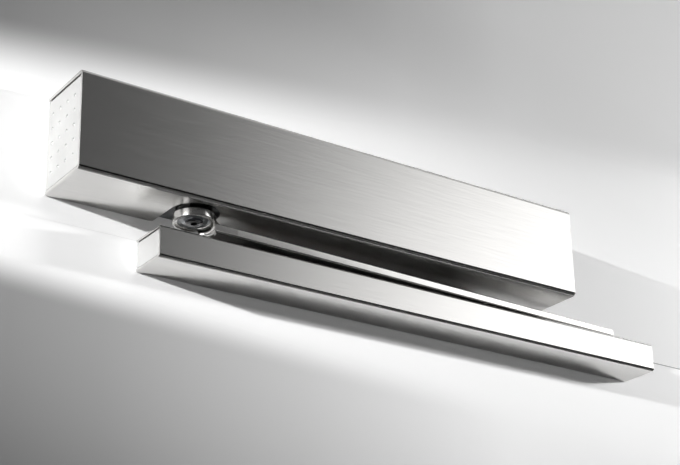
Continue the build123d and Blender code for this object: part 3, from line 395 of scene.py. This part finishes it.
def folded_sheet(name, low, high, sheet, corner):
    """Sheet folded to a U that is open to the rear and at both ends."""
    piece = block(name, low, high)
    choose(piece, "FACE", lambda middle, normal: normal.y > 0.5 or abs(normal.x) > 0.5)
    bpy.ops.mesh.delete(type="FACE")
    choose(piece, "EDGE", lambda middle, along: abs(along.x) > 0.5 and middle.y < (low[1] + 0.1) * MM)
    bpy.ops.mesh.bevel(offset=corner * MM, segments=8)
    bpy.ops.object.mode_set(mode="OBJECT")
    apply_modifier(piece, "SOLIDIFY", thickness=sheet * MM, offset=-1, use_even_offset=True)
    return piece


SPINDLE_OUT = 24.5
COVER_LEFT, COVER_RIGHT, COVER_HALF, COVER_DEPTH = -89.5, 298.5, 32.5, 46.0
COVER_SHEET, COVER_FOLD, COVER_BREAK = 2.0, 2.7, 0.2
NOTCH_HALF, NOTCH_BACK = 16.0, 30.0
cover = folded_sheet(
    "cover_folded", (COVER_LEFT, -COVER_DEPTH, -COVER_HALF), (COVER_RIGHT, 0, COVER_HALF),
    COVER_SHEET, COVER_FOLD,
)
cut(cover, slot_cutter(NOTCH_HALF, (0, -SPINDLE_OUT), (0, NOTCH_BACK), -36, -28))
round_edges(cover, COVER_BREAK)
stand_in(cover, "cover")

RAIL_LEFT, RAIL_RIGHT, RAIL_TOP, RAIL_BOTTOM, RAIL_DEPTH = -26.5, 387.5, -47.5, -68.5, 30.0
RAIL_SHEET, RAIL_FOLD, RAIL_BREAK = 1.5, 2.1, 0.15
SLOT_HALF, SLOT_LEFT, SLOT_RIGHT = 4.2, 2.1, 369.7
rail_cover = folded_sheet(
    "rail_cover_folded", (RAIL_LEFT, -RAIL_DEPTH, RAIL_BOTTOM), (RAIL_RIGHT, 0, RAIL_TOP),
    RAIL_SHEET, RAIL_FOLD,
)
cut(rail_cover, slot_cutter(SLOT_HALF, (SLOT_LEFT, -RAIL_DEPTH / 2), (SLOT_RIGHT, -RAIL_DEPTH / 2), -51, -45))
round_edges(rail_cover, RAIL_BREAK)
stand_in(rail_cover, "rail_cover")

# %% [markdown]
# The end caps are moulded and pushed into the ends of the cover, a little below its cut edge,
# so that a dark seam is left above them. Each carries a grid of small round dimples. The cap
# is a block that is hollowed from inside by an inset and an extrusion; one dimple is a small
# ball, copied over the grid and cut out in one go. The right cap is a mirrored copy.

# %% End caps of the cover
CAP_SINK, CAP_GAP, CAP_DEEP = 0.6, 0.9, 7.3
CAP_WALL, CAP_BASE, CAP_BACK, CAP_BREAK = 1.6, 2.5, 0.3, 0.35
CAP_HALF = COVER_HALF - COVER_SHEET - CAP_GAP
CAP_FRONT = COVER_DEPTH - COVER_SHEET - CAP_GAP
DIMPLE_RADIUS, DIMPLE_DEPTH, DIMPLE_PITCH = 1.15, 0.95, 9.8
DIMPLE_COLUMNS, DIMPLE_ROWS, DIMPLE_FRONT = 4, 5, 35.5


def moulded_cap(name, face, front, low, high, deep, wall, base):
    """Shallow tray that opens to the right: a face plate and a rim round it."""
    cap = block(name, (face, -front, low), (face + deep, -CAP_BACK, high))
    choose(cap, "FACE", lambda middle, normal: normal.x > 0.5)
    bpy.ops.mesh.inset(thickness=wall * MM)
    bpy.ops.mesh.extrude_region_move(TRANSFORM_OT_translate={"value": (-(deep - base) * MM, 0, 0)})
    bpy.ops.object.mode_set(mode="OBJECT")
    return cap


def mirrored_copy(piece, name, middle):
    """Copy with its own mesh, mirrored left to right about a place in mm; round_edges turns its skin out."""
    twin = bpy.data.objects.new(name, piece.data.copy())
    bpy.context.collection.objects.link(twin)
    pick_only(twin)
    bpy.ops.object.mode_set(mode="EDIT")
    bpy.ops.mesh.select_all(action="SELECT")
    bpy.ops.transform.resize(value=(-1, 1, 1), center_override=(middle * MM, 0, 0))
    bpy.ops.object.mode_set(mode="OBJECT")
    return twin


cap_left = moulded_cap(
    "end_cap_left_moulded", COVER_LEFT + CAP_SINK, CAP_FRONT, -CAP_HALF, CAP_HALF,
    CAP_DEEP, CAP_WALL, CAP_BASE,
)
ball_out = (DIMPLE_RADIUS**2 - DIMPLE_DEPTH**2) / (2 * DIMPLE_DEPTH)
ball_radius = ball_out + DIMPLE_DEPTH
pick_only()
bpy.ops.mesh.primitive_uv_sphere_add(segments=16, ring_count=10, radius=ball_radius * MM, location=(0, 0, 0))
balls = bpy.context.object
bpy.ops.object.mode_set(mode="EDIT")
corner_place = (COVER_LEFT + CAP_SINK - ball_out, -DIMPLE_FRONT, -(DIMPLE_ROWS - 1) / 2 * DIMPLE_PITCH)
bpy.ops.transform.translate(value=[v * MM for v in corner_place])
bpy.ops.object.mode_set(mode="OBJECT")
for count, shift in (
    (DIMPLE_COLUMNS, (0, DIMPLE_PITCH * MM, 0)),
    (DIMPLE_ROWS, (0, 0, DIMPLE_PITCH * MM)),
):
    apply_modifier(
        balls, "ARRAY", count=count, use_relative_offset=False, use_constant_offset=True,
        constant_offset_displace=shift,
    )
round_edges(cap_left, CAP_BREAK)
cut(cap_left, balls)
round_edges(cap_left, 0)
cap_right = mirrored_copy(cap_left, "end_cap_right_moulded", (COVER_LEFT + COVER_RIGHT) / 2)
round_edges(cap_right, 0)
stand_in(cap_left, "end_cap_left")
stand_in(cap_right, "end_cap_right")

# %% [markdown]
# The caps of the rail are the same moulding without dimples: a plate that sits a little below
# the cut edge, with a spigot that is pushed into the channel. The plate is a block, and its
# rear face is inset and extruded to make the spigot.

# %% End caps of the rail
RAIL_CAP_SINK, RAIL_CAP_GAP, RAIL_CAP_THICK, RAIL_CAP_BREAK = 0.6, 0.7, 2.4, 0.25
SPIGOT_INSET, SPIGOT_LENGTH, SPIGOT_SHARE = 4.5, 2.5, 0.64
rail_cap_low = RAIL_BOTTOM + RAIL_SHEET + RAIL_CAP_GAP
rail_cap_high = RAIL_TOP - RAIL_SHEET - RAIL_CAP_GAP
rail_cap_left = block(
    "rail_end_cap_left_moulded",
    (RAIL_LEFT + RAIL_CAP_SINK, -RAIL_DEPTH + RAIL_SHEET + RAIL_CAP_GAP, rail_cap_low),
    (RAIL_LEFT + RAIL_CAP_THICK, -CAP_BACK, rail_cap_high),
)
choose(rail_cap_left, "FACE", lambda middle, normal: normal.x > 0.5)
bpy.ops.mesh.inset(thickness=SPIGOT_INSET * MM)
bpy.ops.mesh.extrude_region_move(TRANSFORM_OT_translate={"value": (SPIGOT_LENGTH * MM, 0, 0)})
bpy.ops.transform.resize(value=(1, SPIGOT_SHARE, 1), center_override=(0, -RAIL_DEPTH / 2 * MM, 0))
bpy.ops.object.mode_set(mode="OBJECT")
round_edges(rail_cap_left, RAIL_CAP_BREAK)
rail_cap_right = mirrored_copy(rail_cap_left, "rail_end_cap_right_moulded", (RAIL_LEFT + RAIL_RIGHT) / 2)
round_edges(rail_cap_right, 0)
stand_in(rail_cap_left, "rail_end_cap_left")
stand_in(rail_cap_right, "rail_end_cap_right")

# %% [markdown]
# The lever is a steel forging, polished and nickel plated. A die leaves its sides with a few
# degrees of draft, so that they lean and catch the light of the card, and its blade hardly
# narrows towards the pin. A merged copy of the CAD lever is taken, because its neck and cove
# are right. Its blade is drawn wider at the end, cut across at a dozen stations by bisect, and
# its foot is drawn in station by station, so that the side leans about 6 degrees near the eye
# and 2 degrees near the pin.

# %% Forged lever
PIN_RIGHT, PIN_OUT = 354.0, 15.0
ARM_LENGTH = math.hypot(PIN_RIGHT, SPINDLE_OUT - PIN_OUT)
ARM_TURN = math.atan2(SPINDLE_OUT - PIN_OUT, PIN_RIGHT)
END_HALF, END_HALF_NEW = 5.4, 8.6
PIN_CLEAR = 4.0  # the pin's seat keeps its shape
BLADE_BOTTOM, LOW_BAND = -45.3, 1.2
BLADE_START, BLADE_STATIONS = 14.0, 12
BLADE_FROM, SHOULDER_FROM, SHOULDER_SIDE = 13.8, 8.0, 8.0  # where the blade and its shoulders begin
LEAN_START, LEAN_END = 0.948, 0.978  # share of the width that is left at the blade's foot

lever = bpy.data.objects.new("lever_forged", frame["nodes"]["lever_arm"].data.copy())
bpy.context.collection.objects.link(lever)
pick_only(lever)
bpy.ops.object.mode_set(mode="EDIT")
bpy.ops.mesh.select_all(action="SELECT")
bpy.ops.mesh.remove_doubles(threshold=0.005 * MM)
bpy.ops.mesh.dissolve_limited(angle_limit=math.radians(0.5))
bpy.ops.object.mode_set(mode="OBJECT")


def arm_place(place):
    """Distance along the lever, to its side and up, in mm."""
    x, y = place.x / MM, place.y / MM + SPINDLE_OUT
    along = x * math.cos(ARM_TURN) + y * math.sin(ARM_TURN)
    return along, y * math.cos(ARM_TURN) - x * math.sin(ARM_TURN), place.z / MM


def at_end(place, normal):
    along, side, up = arm_place(place)
    return along > ARM_LENGTH - 1 and math.hypot(along - ARM_LENGTH, side) > PIN_CLEAR


axis_frame = Matrix.Rotation(ARM_TURN, 3, "Z")
choose(lever, "VERT", at_end)
bpy.ops.transform.resize(
    value=(1, END_HALF_NEW / END_HALF, 1), orient_matrix=axis_frame, orient_type="GLOBAL",
    orient_matrix_type="GLOBAL", center_override=(PIN_RIGHT * MM, -PIN_OUT * MM, 0),
)
arm_line = Vector((math.cos(ARM_TURN), math.sin(ARM_TURN), 0))
spindle = Vector((0, -SPINDLE_OUT * MM, 0))
step = (ARM_LENGTH - BLADE_START - END_HALF) / BLADE_STATIONS
for station in range(2, BLADE_STATIONS):
    bpy.ops.mesh.select_all(action="SELECT")
    bpy.ops.mesh.bisect(plane_co=spindle + arm_line * (BLADE_START + station * step) * MM, plane_no=arm_line)
for station in range(BLADE_STATIONS + 2):
    near = BLADE_START + station * step

    def low_here(place, normal):
        along, side, up = arm_place(place)
        clear = math.hypot(along - ARM_LENGTH, side) > PIN_CLEAR
        on_blade = along > BLADE_FROM or (along > SHOULDER_FROM and abs(side) > SHOULDER_SIDE)
        low = up < BLADE_BOTTOM + LOW_BAND
        return near - step / 2 <= along < near + step / 2 and on_blade and low and clear

    choose(lever, "VERT", low_here)
    lean = LEAN_START + (LEAN_END - LEAN_START) * station / BLADE_STATIONS
    bpy.ops.transform.resize(
        value=(1, lean, 1), orient_matrix=axis_frame, orient_type="GLOBAL", orient_matrix_type="GLOBAL",
        center_override=spindle,
    )
bpy.ops.object.mode_set(mode="OBJECT")
round_edges(lever, 0)
stand_in(lever, "lever_arm")

# %% [markdown]
# The closing spring is wound from wire and shortens as the piston pushes into it. A merged
# copy of the CAD spring stands in for it, with its skin smoothed and a mesh of its own.

# %% Closing spring
spring = bpy.data.objects.new("closing_spring_wound", frame["nodes"]["closing_spring"].data.copy())
bpy.context.collection.objects.link(spring)
round_edges(spring, 0)
stand_in(spring, "closing_spring")
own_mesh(spring)

# %% [markdown]
# The closer hangs on a pale wall: the head of the door frame above, the door leaf below, and a
# narrow gap between them at the height of the rail's top. The wall is only a backdrop, seen
# from the front: from behind it is clear, so that the back of the closer can be looked at.
# A pane in each sheet, hidden by the closer, is clear for light alone, so that light from
# behind reaches the closer's back, while the eye still sees the wall there.

# %% Wall
GAP_HEIGHT = -47.6 * MM
GAP_HALF = 0.5 * MM
GAP_DEPTH = 0.8 * MM
WALL_OUT = 3.0
WALL_TOP = 2.0
WALL_BEHIND = 0.4 * MM
FLOOR_HEIGHT = -1.6
PANE_EDGE, PANE_SILL = 3 * MM, 14 * MM


def add_upright(name, low, high, behind):
    """Upright sheet across the scene from one height to another, facing the viewer."""
    pick_only()
    bpy.ops.mesh.primitive_plane_add(size=1, location=(0, 0, 0), rotation=(math.radians(90), 0, 0))
    bpy.ops.object.transform_apply(location=False, rotation=True, scale=False)
    sheet = bpy.context.object
    sheet.name = name
    bpy.ops.object.mode_set(mode="EDIT")
    bpy.ops.mesh.select_all(action="SELECT")
    bpy.ops.transform.resize(value=(2 * WALL_OUT, 1, high - low), center_override=(0, 0, 0))
    bpy.ops.transform.translate(value=(0, behind, (high + low) / 2))
    bpy.ops.object.mode_set(mode="OBJECT")
    return sheet


def mark_pane(sheet, hidden_by, sill):
    """Give a sheet's second finish to a pane that a CAD node hides, a little smaller than the node."""
    low, high = (list(corner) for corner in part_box(hidden_by))
    low[0], high[0] = low[0] + PANE_EDGE, high[0] - PANE_EDGE
    low[2], high[2] = low[2] + sill, high[2] - PANE_EDGE
    pick_only(sheet)
    bpy.ops.object.mode_set(mode="EDIT")
    for axis, place in ((0, low[0]), (0, high[0]), (2, low[2]), (2, high[2])):
        bpy.ops.mesh.select_all(action="SELECT")
        point, normal = [0.0, 0.0, 0.0], [0.0, 0.0, 0.0]
        point[axis], normal[axis] = place, 1.0
        bpy.ops.mesh.bisect(plane_co=point, plane_no=normal)
    bpy.ops.object.mode_set(mode="OBJECT")
    for face in sheet.data.polygons:
        if all(low[i] < face.center[i] < high[i] for i in (0, 2)):
            face.material_index = 1


frame_head = add_upright("frame_head", GAP_HEIGHT + GAP_HALF, WALL_TOP, WALL_BEHIND)
door_leaf = add_upright("door_leaf", FLOOR_HEIGHT, GAP_HEIGHT - GAP_HALF, WALL_BEHIND)
# The gap's back is a sheet whose grey, darker towards the right, is painted shade on top of the real shadow
# in the gap.
gap_shade_back = add_upright("gap_shade_back", GAP_HEIGHT - 2 * GAP_HALF, GAP_HEIGHT + 2 * GAP_HALF, GAP_DEPTH)
mark_pane(frame_head, "cover", PANE_SILL)
mark_pane(door_leaf, "rail_cover", PANE_EDGE)
print("wall:", frame_head.name, door_leaf.name, gap_shade_back.name)

# %% [markdown]
# A band of light runs along the closer, and above and below it the wall falls off to grey, as it
# does between the flags of a studio lamp. This band and its grey are painted light and painted
# shade in the wall's colour, so that no more light than a plain level falls on the closer itself,
# and further down the colour is painted dark. Outside the photograph's view the lamps hardly
# reach the wall, and there it gets a pale tone for the eye alone.

# %% Wall paint with painted light and shade
WALL_LEFT, WALL_RIGHT = -120 * MM, 480 * MM  # the tones are given from here to here
# Borders of the painted band of light: past them the colour turns to painted shade.
UPPER_SLOPE, UPPER_START, UPPER_END = -0.11, 49 * MM, 95 * MM
LOWER_SLOPE, LOWER_START, LOWER_END = 0.07, -80 * MM, -106 * MM
# Further down, the wall's colour is painted dark: painted shade of a flagged lamp.
FLAG_TOP, FLAG_END, FLAG_SHADE = -230 * MM, -420 * MM, 0.04  # further down the wall is dark
# The lift adds a glow of the painted tone, painted light and shade included, for the eye alone.
WALL_LIFT = 0.09  # how much of the wall's own tone is added for the eye
SEEN_PALE = 0.8  # the part of the wall and floor that no lamp reaches, for the eye alone
WALL_MIDDLE = (180 * MM, 0, 45 * MM)
LIT_RADIUS, PALE_RADIUS = 415 * MM, 705.5 * MM  # lit as in the photograph, and pale, about that middle
ROLLER_GRAIN = 1.5 * MM


def paint_with_painted_light_and_shade(name, band, above, below, pane=False):
    """Matt paint with painted light and shade: a lit band along X, painted grey above and below it, painted
    dark further down.
    """
    made = bpy.data.materials.new(name)
    made.use_nodes = True
    tree = made.node_tree
    tree.nodes.clear()
    place = node(tree, "TexCoord").outputs["Object"]
    split = node(tree, "SeparateXYZ", {"Vector": place})
    across, up = split.outputs["X"], split.outputs["Z"]
    run = {"Value": across, "From Min": WALL_LEFT, "From Max": WALL_RIGHT}
    along = node(tree, "MapRange", run).outputs["Result"]

    tone = node(tree, "ValToRGB", {"Fac": along}, stops=band).outputs["Color"]
    # Above and below the band the colour turns to grey: painted shade.
    for slope, start, end, stops in (
        (UPPER_SLOPE, UPPER_START, UPPER_END, above),
        (LOWER_SLOPE, LOWER_START, LOWER_END, below),
    ):
        height = node(tree, "Math", {0: across, 1: slope, 2: up}, operation="MULTIPLY_ADD").outputs["Value"]
        step = {"Value": height, "From Min": start, "From Max": end}
        border = node(tree, "MapRange", step, interpolation_type="SMOOTHSTEP").outputs["Result"]
        beyond = node(tree, "ValToRGB", {"Fac": along}, stops=stops).outputs["Color"]
        tone = node(tree, "MixRGB", {"Fac": border, "Color1": tone, "Color2": beyond}).outputs["Color"]
    # Painted shade: the colour is darkened further down the wall.
    step = {"Value": up, "From Min": FLAG_TOP, "From Max": FLAG_END, "To Min": 1.0, "To Max": FLAG_SHADE}
    flagged = node(tree, "MapRange", step, interpolation_type="SMOOTHSTEP").outputs["Result"]
    shaded = {"Fac": 1.0, "Color1": tone, "Color2": flagged}
    tone = node(tree, "MixRGB", shaded, blend_type="MULTIPLY").outputs["Color"]

    roller = node(tree, "TexNoise", {"Vector": place, "Scale": 1 / ROLLER_GRAIN, "Detail": 2.0})
    bump = node(tree, "Bump", {"Height": roller.outputs["Fac"], "Distance": 0.02 * MM, "Strength": 0.3})
    matt = node(tree, "BsdfDiffuse", {"Color": tone, "Normal": bump.outputs["Normal"]}).outputs["BSDF"]

    path = node(tree, "LightPath")
    eye = path.outputs["Is Camera Ray"]
    lift = node(tree, "Math", {0: eye, 1: WALL_LIFT}, operation="MULTIPLY").outputs["Value"]
    glow = node(tree, "Emission", {"Color": tone, "Strength": lift}).outputs["Emission"]
    step = {"Value": flagged, "From Min": 1.0, "From Max": FLAG_SHADE, "To Max": SEEN_PALE}
    unlit = node(tree, "MapRange", step).outputs["Result"]
    away = node(tree, "VectorMath", {0: place, 1: WALL_MIDDLE}, operation="DISTANCE").outputs["Value"]
    step = {"Value": away, "From Min": LIT_RADIUS, "From Max": PALE_RADIUS, "To Max": SEEN_PALE}
    away = node(tree, "MapRange", step, interpolation_type="SMOOTHSTEP").outputs["Result"]
    unlit = node(tree, "Math", {0: unlit, 1: away}, operation="MAXIMUM").outputs["Value"]
    lift = node(tree, "Math", {0: eye, 1: unlit}, operation="MULTIPLY").outputs["Value"]
    pale = node(tree, "Emission", {"Color": paint("#E6E6E6"), "Strength": lift}).outputs["Emission"]
    glow = node(tree, "AddShader", {0: glow, 1: pale}).outputs["Shader"]
    matt = node(tree, "AddShader", {0: matt, 1: glow}).outputs["Shader"]

    clear = node(tree, "BsdfTransparent").outputs["BSDF"]
    gone = node(tree, "NewGeometry").outputs["Backfacing"]
    if pane:
        light = node(tree, "Math", {0: 1.0, 1: eye}, operation="SUBTRACT").outputs["Value"]
        gone = node(tree, "Math", {0: gone, 1: light}, operation="MAXIMUM").outputs["Value"]
    seen = node(tree, "MixShader", {"Fac": gone, 1: matt, 2: clear}).outputs["Shader"]
    node(tree, "OutputMaterial", {"Surface": seen})
    return made


# Painted light and shade: a near-white lit band, and grey above and below it that mostly lightens towards the
# right.
light_and_shade_tones = (
    [(0.0, "#FBFBFB"), (0.3, "#FFFFFF")],
    [
        (0.0, "#818181"), (0.2, "#A6A6A6"), (0.36, "#C7C7C7"),
        (0.51, "#E3E3E3"), (0.68, "#F1F1F1"), (1.0, "#E1E1E1"),
    ],
    [
        (0.02, "#959595"), (0.12, "#A4A4A4"), (0.23, "#B9B9B9"),
        (0.36, "#CECECE"), (0.5, "#E5E5E5"), (0.65, "#FBFBFB"),
    ],
)
# Painted shade for the back of the gap, darker towards the right.
gap_shade_tones = ([(0.0, "#F6F6F6"), (0.4, "#E4E4E4"), (1.0, "#B4B4B4")],) * 3
painted_light_wall = paint_with_painted_light_and_shade("matt_paint_and_painted_light", *light_and_shade_tones)
painted_light_pane = paint_with_painted_light_and_shade("matt_pane_and_painted_light", *light_and_shade_tones, pane=True)
for wall in (frame_head, door_leaf):
    wall.data.materials.append(painted_light_wall)
    wall.data.materials.append(painted_light_pane)
gap_shade_back.data.materials.append(paint_with_painted_light_and_shade("gap_painted_shade", *gap_shade_tones))
print("wall painted with", painted_light_wall.name, "and", painted_light_pane.name)

# %% [markdown]
# A plain pale floor lies far below, out of the photograph's view. It is matt and a little dusty,
# and like the wall it keeps a pale tone for the eye where no lamp reaches it.

# %% Floor
DUST_SIZE = 60 * MM
pick_only()
bpy.ops.mesh.primitive_plane_add(size=2 * WALL_OUT, location=(0, 0, FLOOR_HEIGHT))
floor = bpy.context.object
floor.name = "floor"
floor_paint, tree, shader, place = start_material("matt_floor")
dust = node(tree, "TexNoise", {"Vector": place, "Scale": 1 / DUST_SIZE, "Detail": 3.0}).outputs["Fac"]
dusty = node(tree, "ValToRGB", {"Fac": dust}, stops=[(0.3, "#DEDEDE"), (0.7, "#E6E6E6")]).outputs["Color"]
tree.links.new(dusty, shader.inputs["Base Color"])
tree.links.new(dusty, shader.inputs["Emission Color"])
eye = node(tree, "LightPath").outputs["Is Camera Ray"]
seen = node(tree, "Math", {0: eye, 1: SEEN_PALE}, operation="MULTIPLY")
tree.links.new(seen.outputs["Value"], shader.inputs["Emission Strength"])
shader.inputs["Roughness"].default_value = 0.8
floor.data.materials.append(floor_paint)
print("floor", round(-FLOOR_HEIGHT / MM), "mm below the closer's middle")

# %% [markdown]
# Two lamps light the closer. A narrow spot far to the left grazes the wall: the end caps glow,
# and the closer throws a crisp shadow that drops a little below it. A weak lamp on the right
# fills what the spot leaves dark.

# %% Lamps


def add_lamp(name, kind, place, target, power, **settings):
    """Lamp that faces a target point."""
    data = bpy.data.lights.new(name, kind)
    data.energy = power
    for key, value in settings.items():
        setattr(data, key, value)
    lamp = bpy.data.objects.new(name, data)
    bpy.context.collection.objects.link(lamp)
    lamp.location = place
    lamp.rotation_euler = (Vector(target) - Vector(place)).to_track_quat("-Z", "Y").to_euler()
    print(name, "at", [round(v / MM) for v in place], "mm,", power, "W")
    return lamp


spot_left = add_lamp(
    "spot_left", "SPOT", (-2.69, -0.88, 0.25), (-0.2, 0.0, -0.01), 655,
    shadow_soft_size=0.03, spot_size=math.radians(10), spot_blend=1.0,
)
lamp_right = add_lamp(
    "lamp_right", "AREA", (1.15, -0.55, 0.09), (0.2, -0.046, 0.0), 9,
    shape="RECTANGLE", size=0.2, size_y=0.05,
)
lamp_right.visible_glossy = False  # the card below stands for it in the mirror of the metal

# %% [markdown]
# A graded card stands on the right, only to be mirrored: the brushed front shows it as a slow
# change from dark to light, and its sharp lower edge gives the lever's side the same change. A
# second card, at the left, is mirrored by what faces left, such as the end caps. The room itself
# holds both cards, painted by direction for the rays that metal mirrors. The rest of the room is
# dark, darkest above and below, so that rounded edges read as thin dark lines. What stands
# behind the wall is pale, for the eye and for metal, and lights the closer's back.

# %% Room and graded cards
ROOM_DIM = 0.065  # light of the room in front of the wall
REAR_LIGHT = 0.5  # light from behind the wall, that reaches the closer's back
BACKGROUND_STRENGTH = 0.95
CARD_LIGHT, SIDE_CARD_LIGHT = 1.58, 1.6
CARD_LEFT, CARD_RIGHT = 28.5, 100.0  # degrees right of the viewer's side

world = bpy.data.worlds.new("studio")
bpy.context.scene.world = world
world.use_nodes = True
tree = world.node_tree
tree.nodes.clear()
path = node(tree, "LightPath").outputs
direction = node(tree, "SeparateXYZ", {"Vector": node(tree, "TexCoord").outputs["Generated"]})
right, deep, up = (direction.outputs[name] for name in "XYZ")
towards = node(tree, "Math", {0: deep, 1: -1.0}, operation="MULTIPLY").outputs["Value"]
turn = node(tree, "Math", {0: right, 1: towards}, operation="ARCTAN2").outputs["Value"]


def rise(degrees):
    """Height of a direction at this many degrees above the horizon."""
    return math.sin(math.radians(degrees))


def card(strength, turns, rises):
    """Light of a card: its strength times a soft step (start, end, low, high) at each edge, in degrees."""
    light = strength
    for value, edges, reading in ((turn, turns, math.radians), (up, rises, rise)):
        for start, end, low, high in edges:
            step = {"From Min": reading(start), "From Max": reading(end), "To Min": low, "To Max": high}
            edge = node(tree, "MapRange", {"Value": value, **step}, interpolation_type="SMOOTHSTEP")
            light = node(tree, "Math", {0: light, 1: edge.outputs["Result"]}, operation="MULTIPLY")
            light = light.outputs["Value"]
    return light


graded_card = card(
    CARD_LIGHT,
    turns=[(CARD_LEFT, 44.0, 0.0, 1.0), (80.0, CARD_RIGHT, 1.0, 0.0)],
    rises=[(20.0, 31.0, 1.3, 0.35), (9.5, 13.5, 0.0, 1.0)],
)
side_card = card(
    SIDE_CARD_LIGHT,
    turns=[(-96.0, -84.0, 0.0, 1.0), (-64.0, -52.0, 1.0, 0.0)],
    rises=[(-35.0, -20.0, 0.0, 1.0), (45.0, 60.0, 1.0, 0.0)],
)
cards = node(tree, "Math", {0: graded_card, 1: side_card}, operation="ADD").outputs["Value"]

height = node(tree, "MapRange", {"Value": up, "From Min": -1.0, "From Max": 1.0}).outputs["Result"]
room = node(
    tree, "ValToRGB", {"Fac": height},
    stops=[(0.50, "#101010"), (0.63, "#FFFFFF"), (0.75, "#FFFFFF"), (0.90, "#2A2A2A")],
).outputs["Color"]
behind = node(tree, "Math", {0: deep, 1: 0.0}, operation="GREATER_THAN").outputs["Value"]
rays = {0: path["Is Glossy Ray"], 1: path["Is Transmission Ray"]}
mirrored = node(tree, "Math", rays, operation="MAXIMUM").outputs["Value"]
rear = node(tree, "Math", {0: mirrored, 1: behind}, operation="MULTIPLY").outputs["Value"]
shown = node(tree, "Math", {0: path["Is Camera Ray"], 1: rear}, operation="MAXIMUM").outputs["Value"]
strength = {0: behind, 1: REAR_LIGHT, 2: ROOM_DIM}
strength = node(tree, "Math", strength, operation="MULTIPLY_ADD").outputs["Value"]
dim = node(tree, "Background", {"Color": room, "Strength": strength}).outputs["Background"]
bright = node(tree, "Math", {0: cards, 1: mirrored}, operation="MULTIPLY").outputs["Value"]
graded = node(tree, "Background", {"Color": paint("#FFFFFF"), "Strength": bright}).outputs["Background"]
pale = {"Color": paint("#F2F2F2"), "Strength": BACKGROUND_STRENGTH}
pale = node(tree, "Background", pale).outputs["Background"]
front = node(tree, "AddShader", {0: dim, 1: graded}).outputs["Shader"]
both = node(tree, "MixShader", {"Fac": shown, 1: front, 2: pale}).outputs["Shader"]
node(tree, "OutputWorld", {"Surface": both})
print("card in the room from", CARD_LEFT, "to", CARD_RIGHT, "degrees right of the viewer's side")

# %% [markdown]
# The camera stands low and to the left, looking up, as in the photograph. Its place, turn and
# lens were fitted to the corners of the body and of the rail.

# %% Camera
SENSOR_WIDTH, LENS, LENS_SHIFT = 36, 87.8, 0.0993
CAMERA_PLACE = (-0.4720, -0.8395, -0.4509)
CAMERA_TURN = (110.968, 1.170, -35.055)

camera_data = bpy.data.cameras.new("camera")
camera_data.sensor_width = SENSOR_WIDTH
camera_data.lens = LENS
camera_data.shift_y = LENS_SHIFT
camera_data.clip_start = 0.01
camera = bpy.data.objects.new("camera", camera_data)
bpy.context.collection.objects.link(camera)
camera.location = CAMERA_PLACE
camera.rotation_euler = [math.radians(v) for v in CAMERA_TURN]
bpy.context.scene.camera = camera
bpy.context.scene.view_settings.view_transform = "Standard"
print("camera at", [round(v / MM) for v in CAMERA_PLACE], "mm, lens", LENS, "mm")
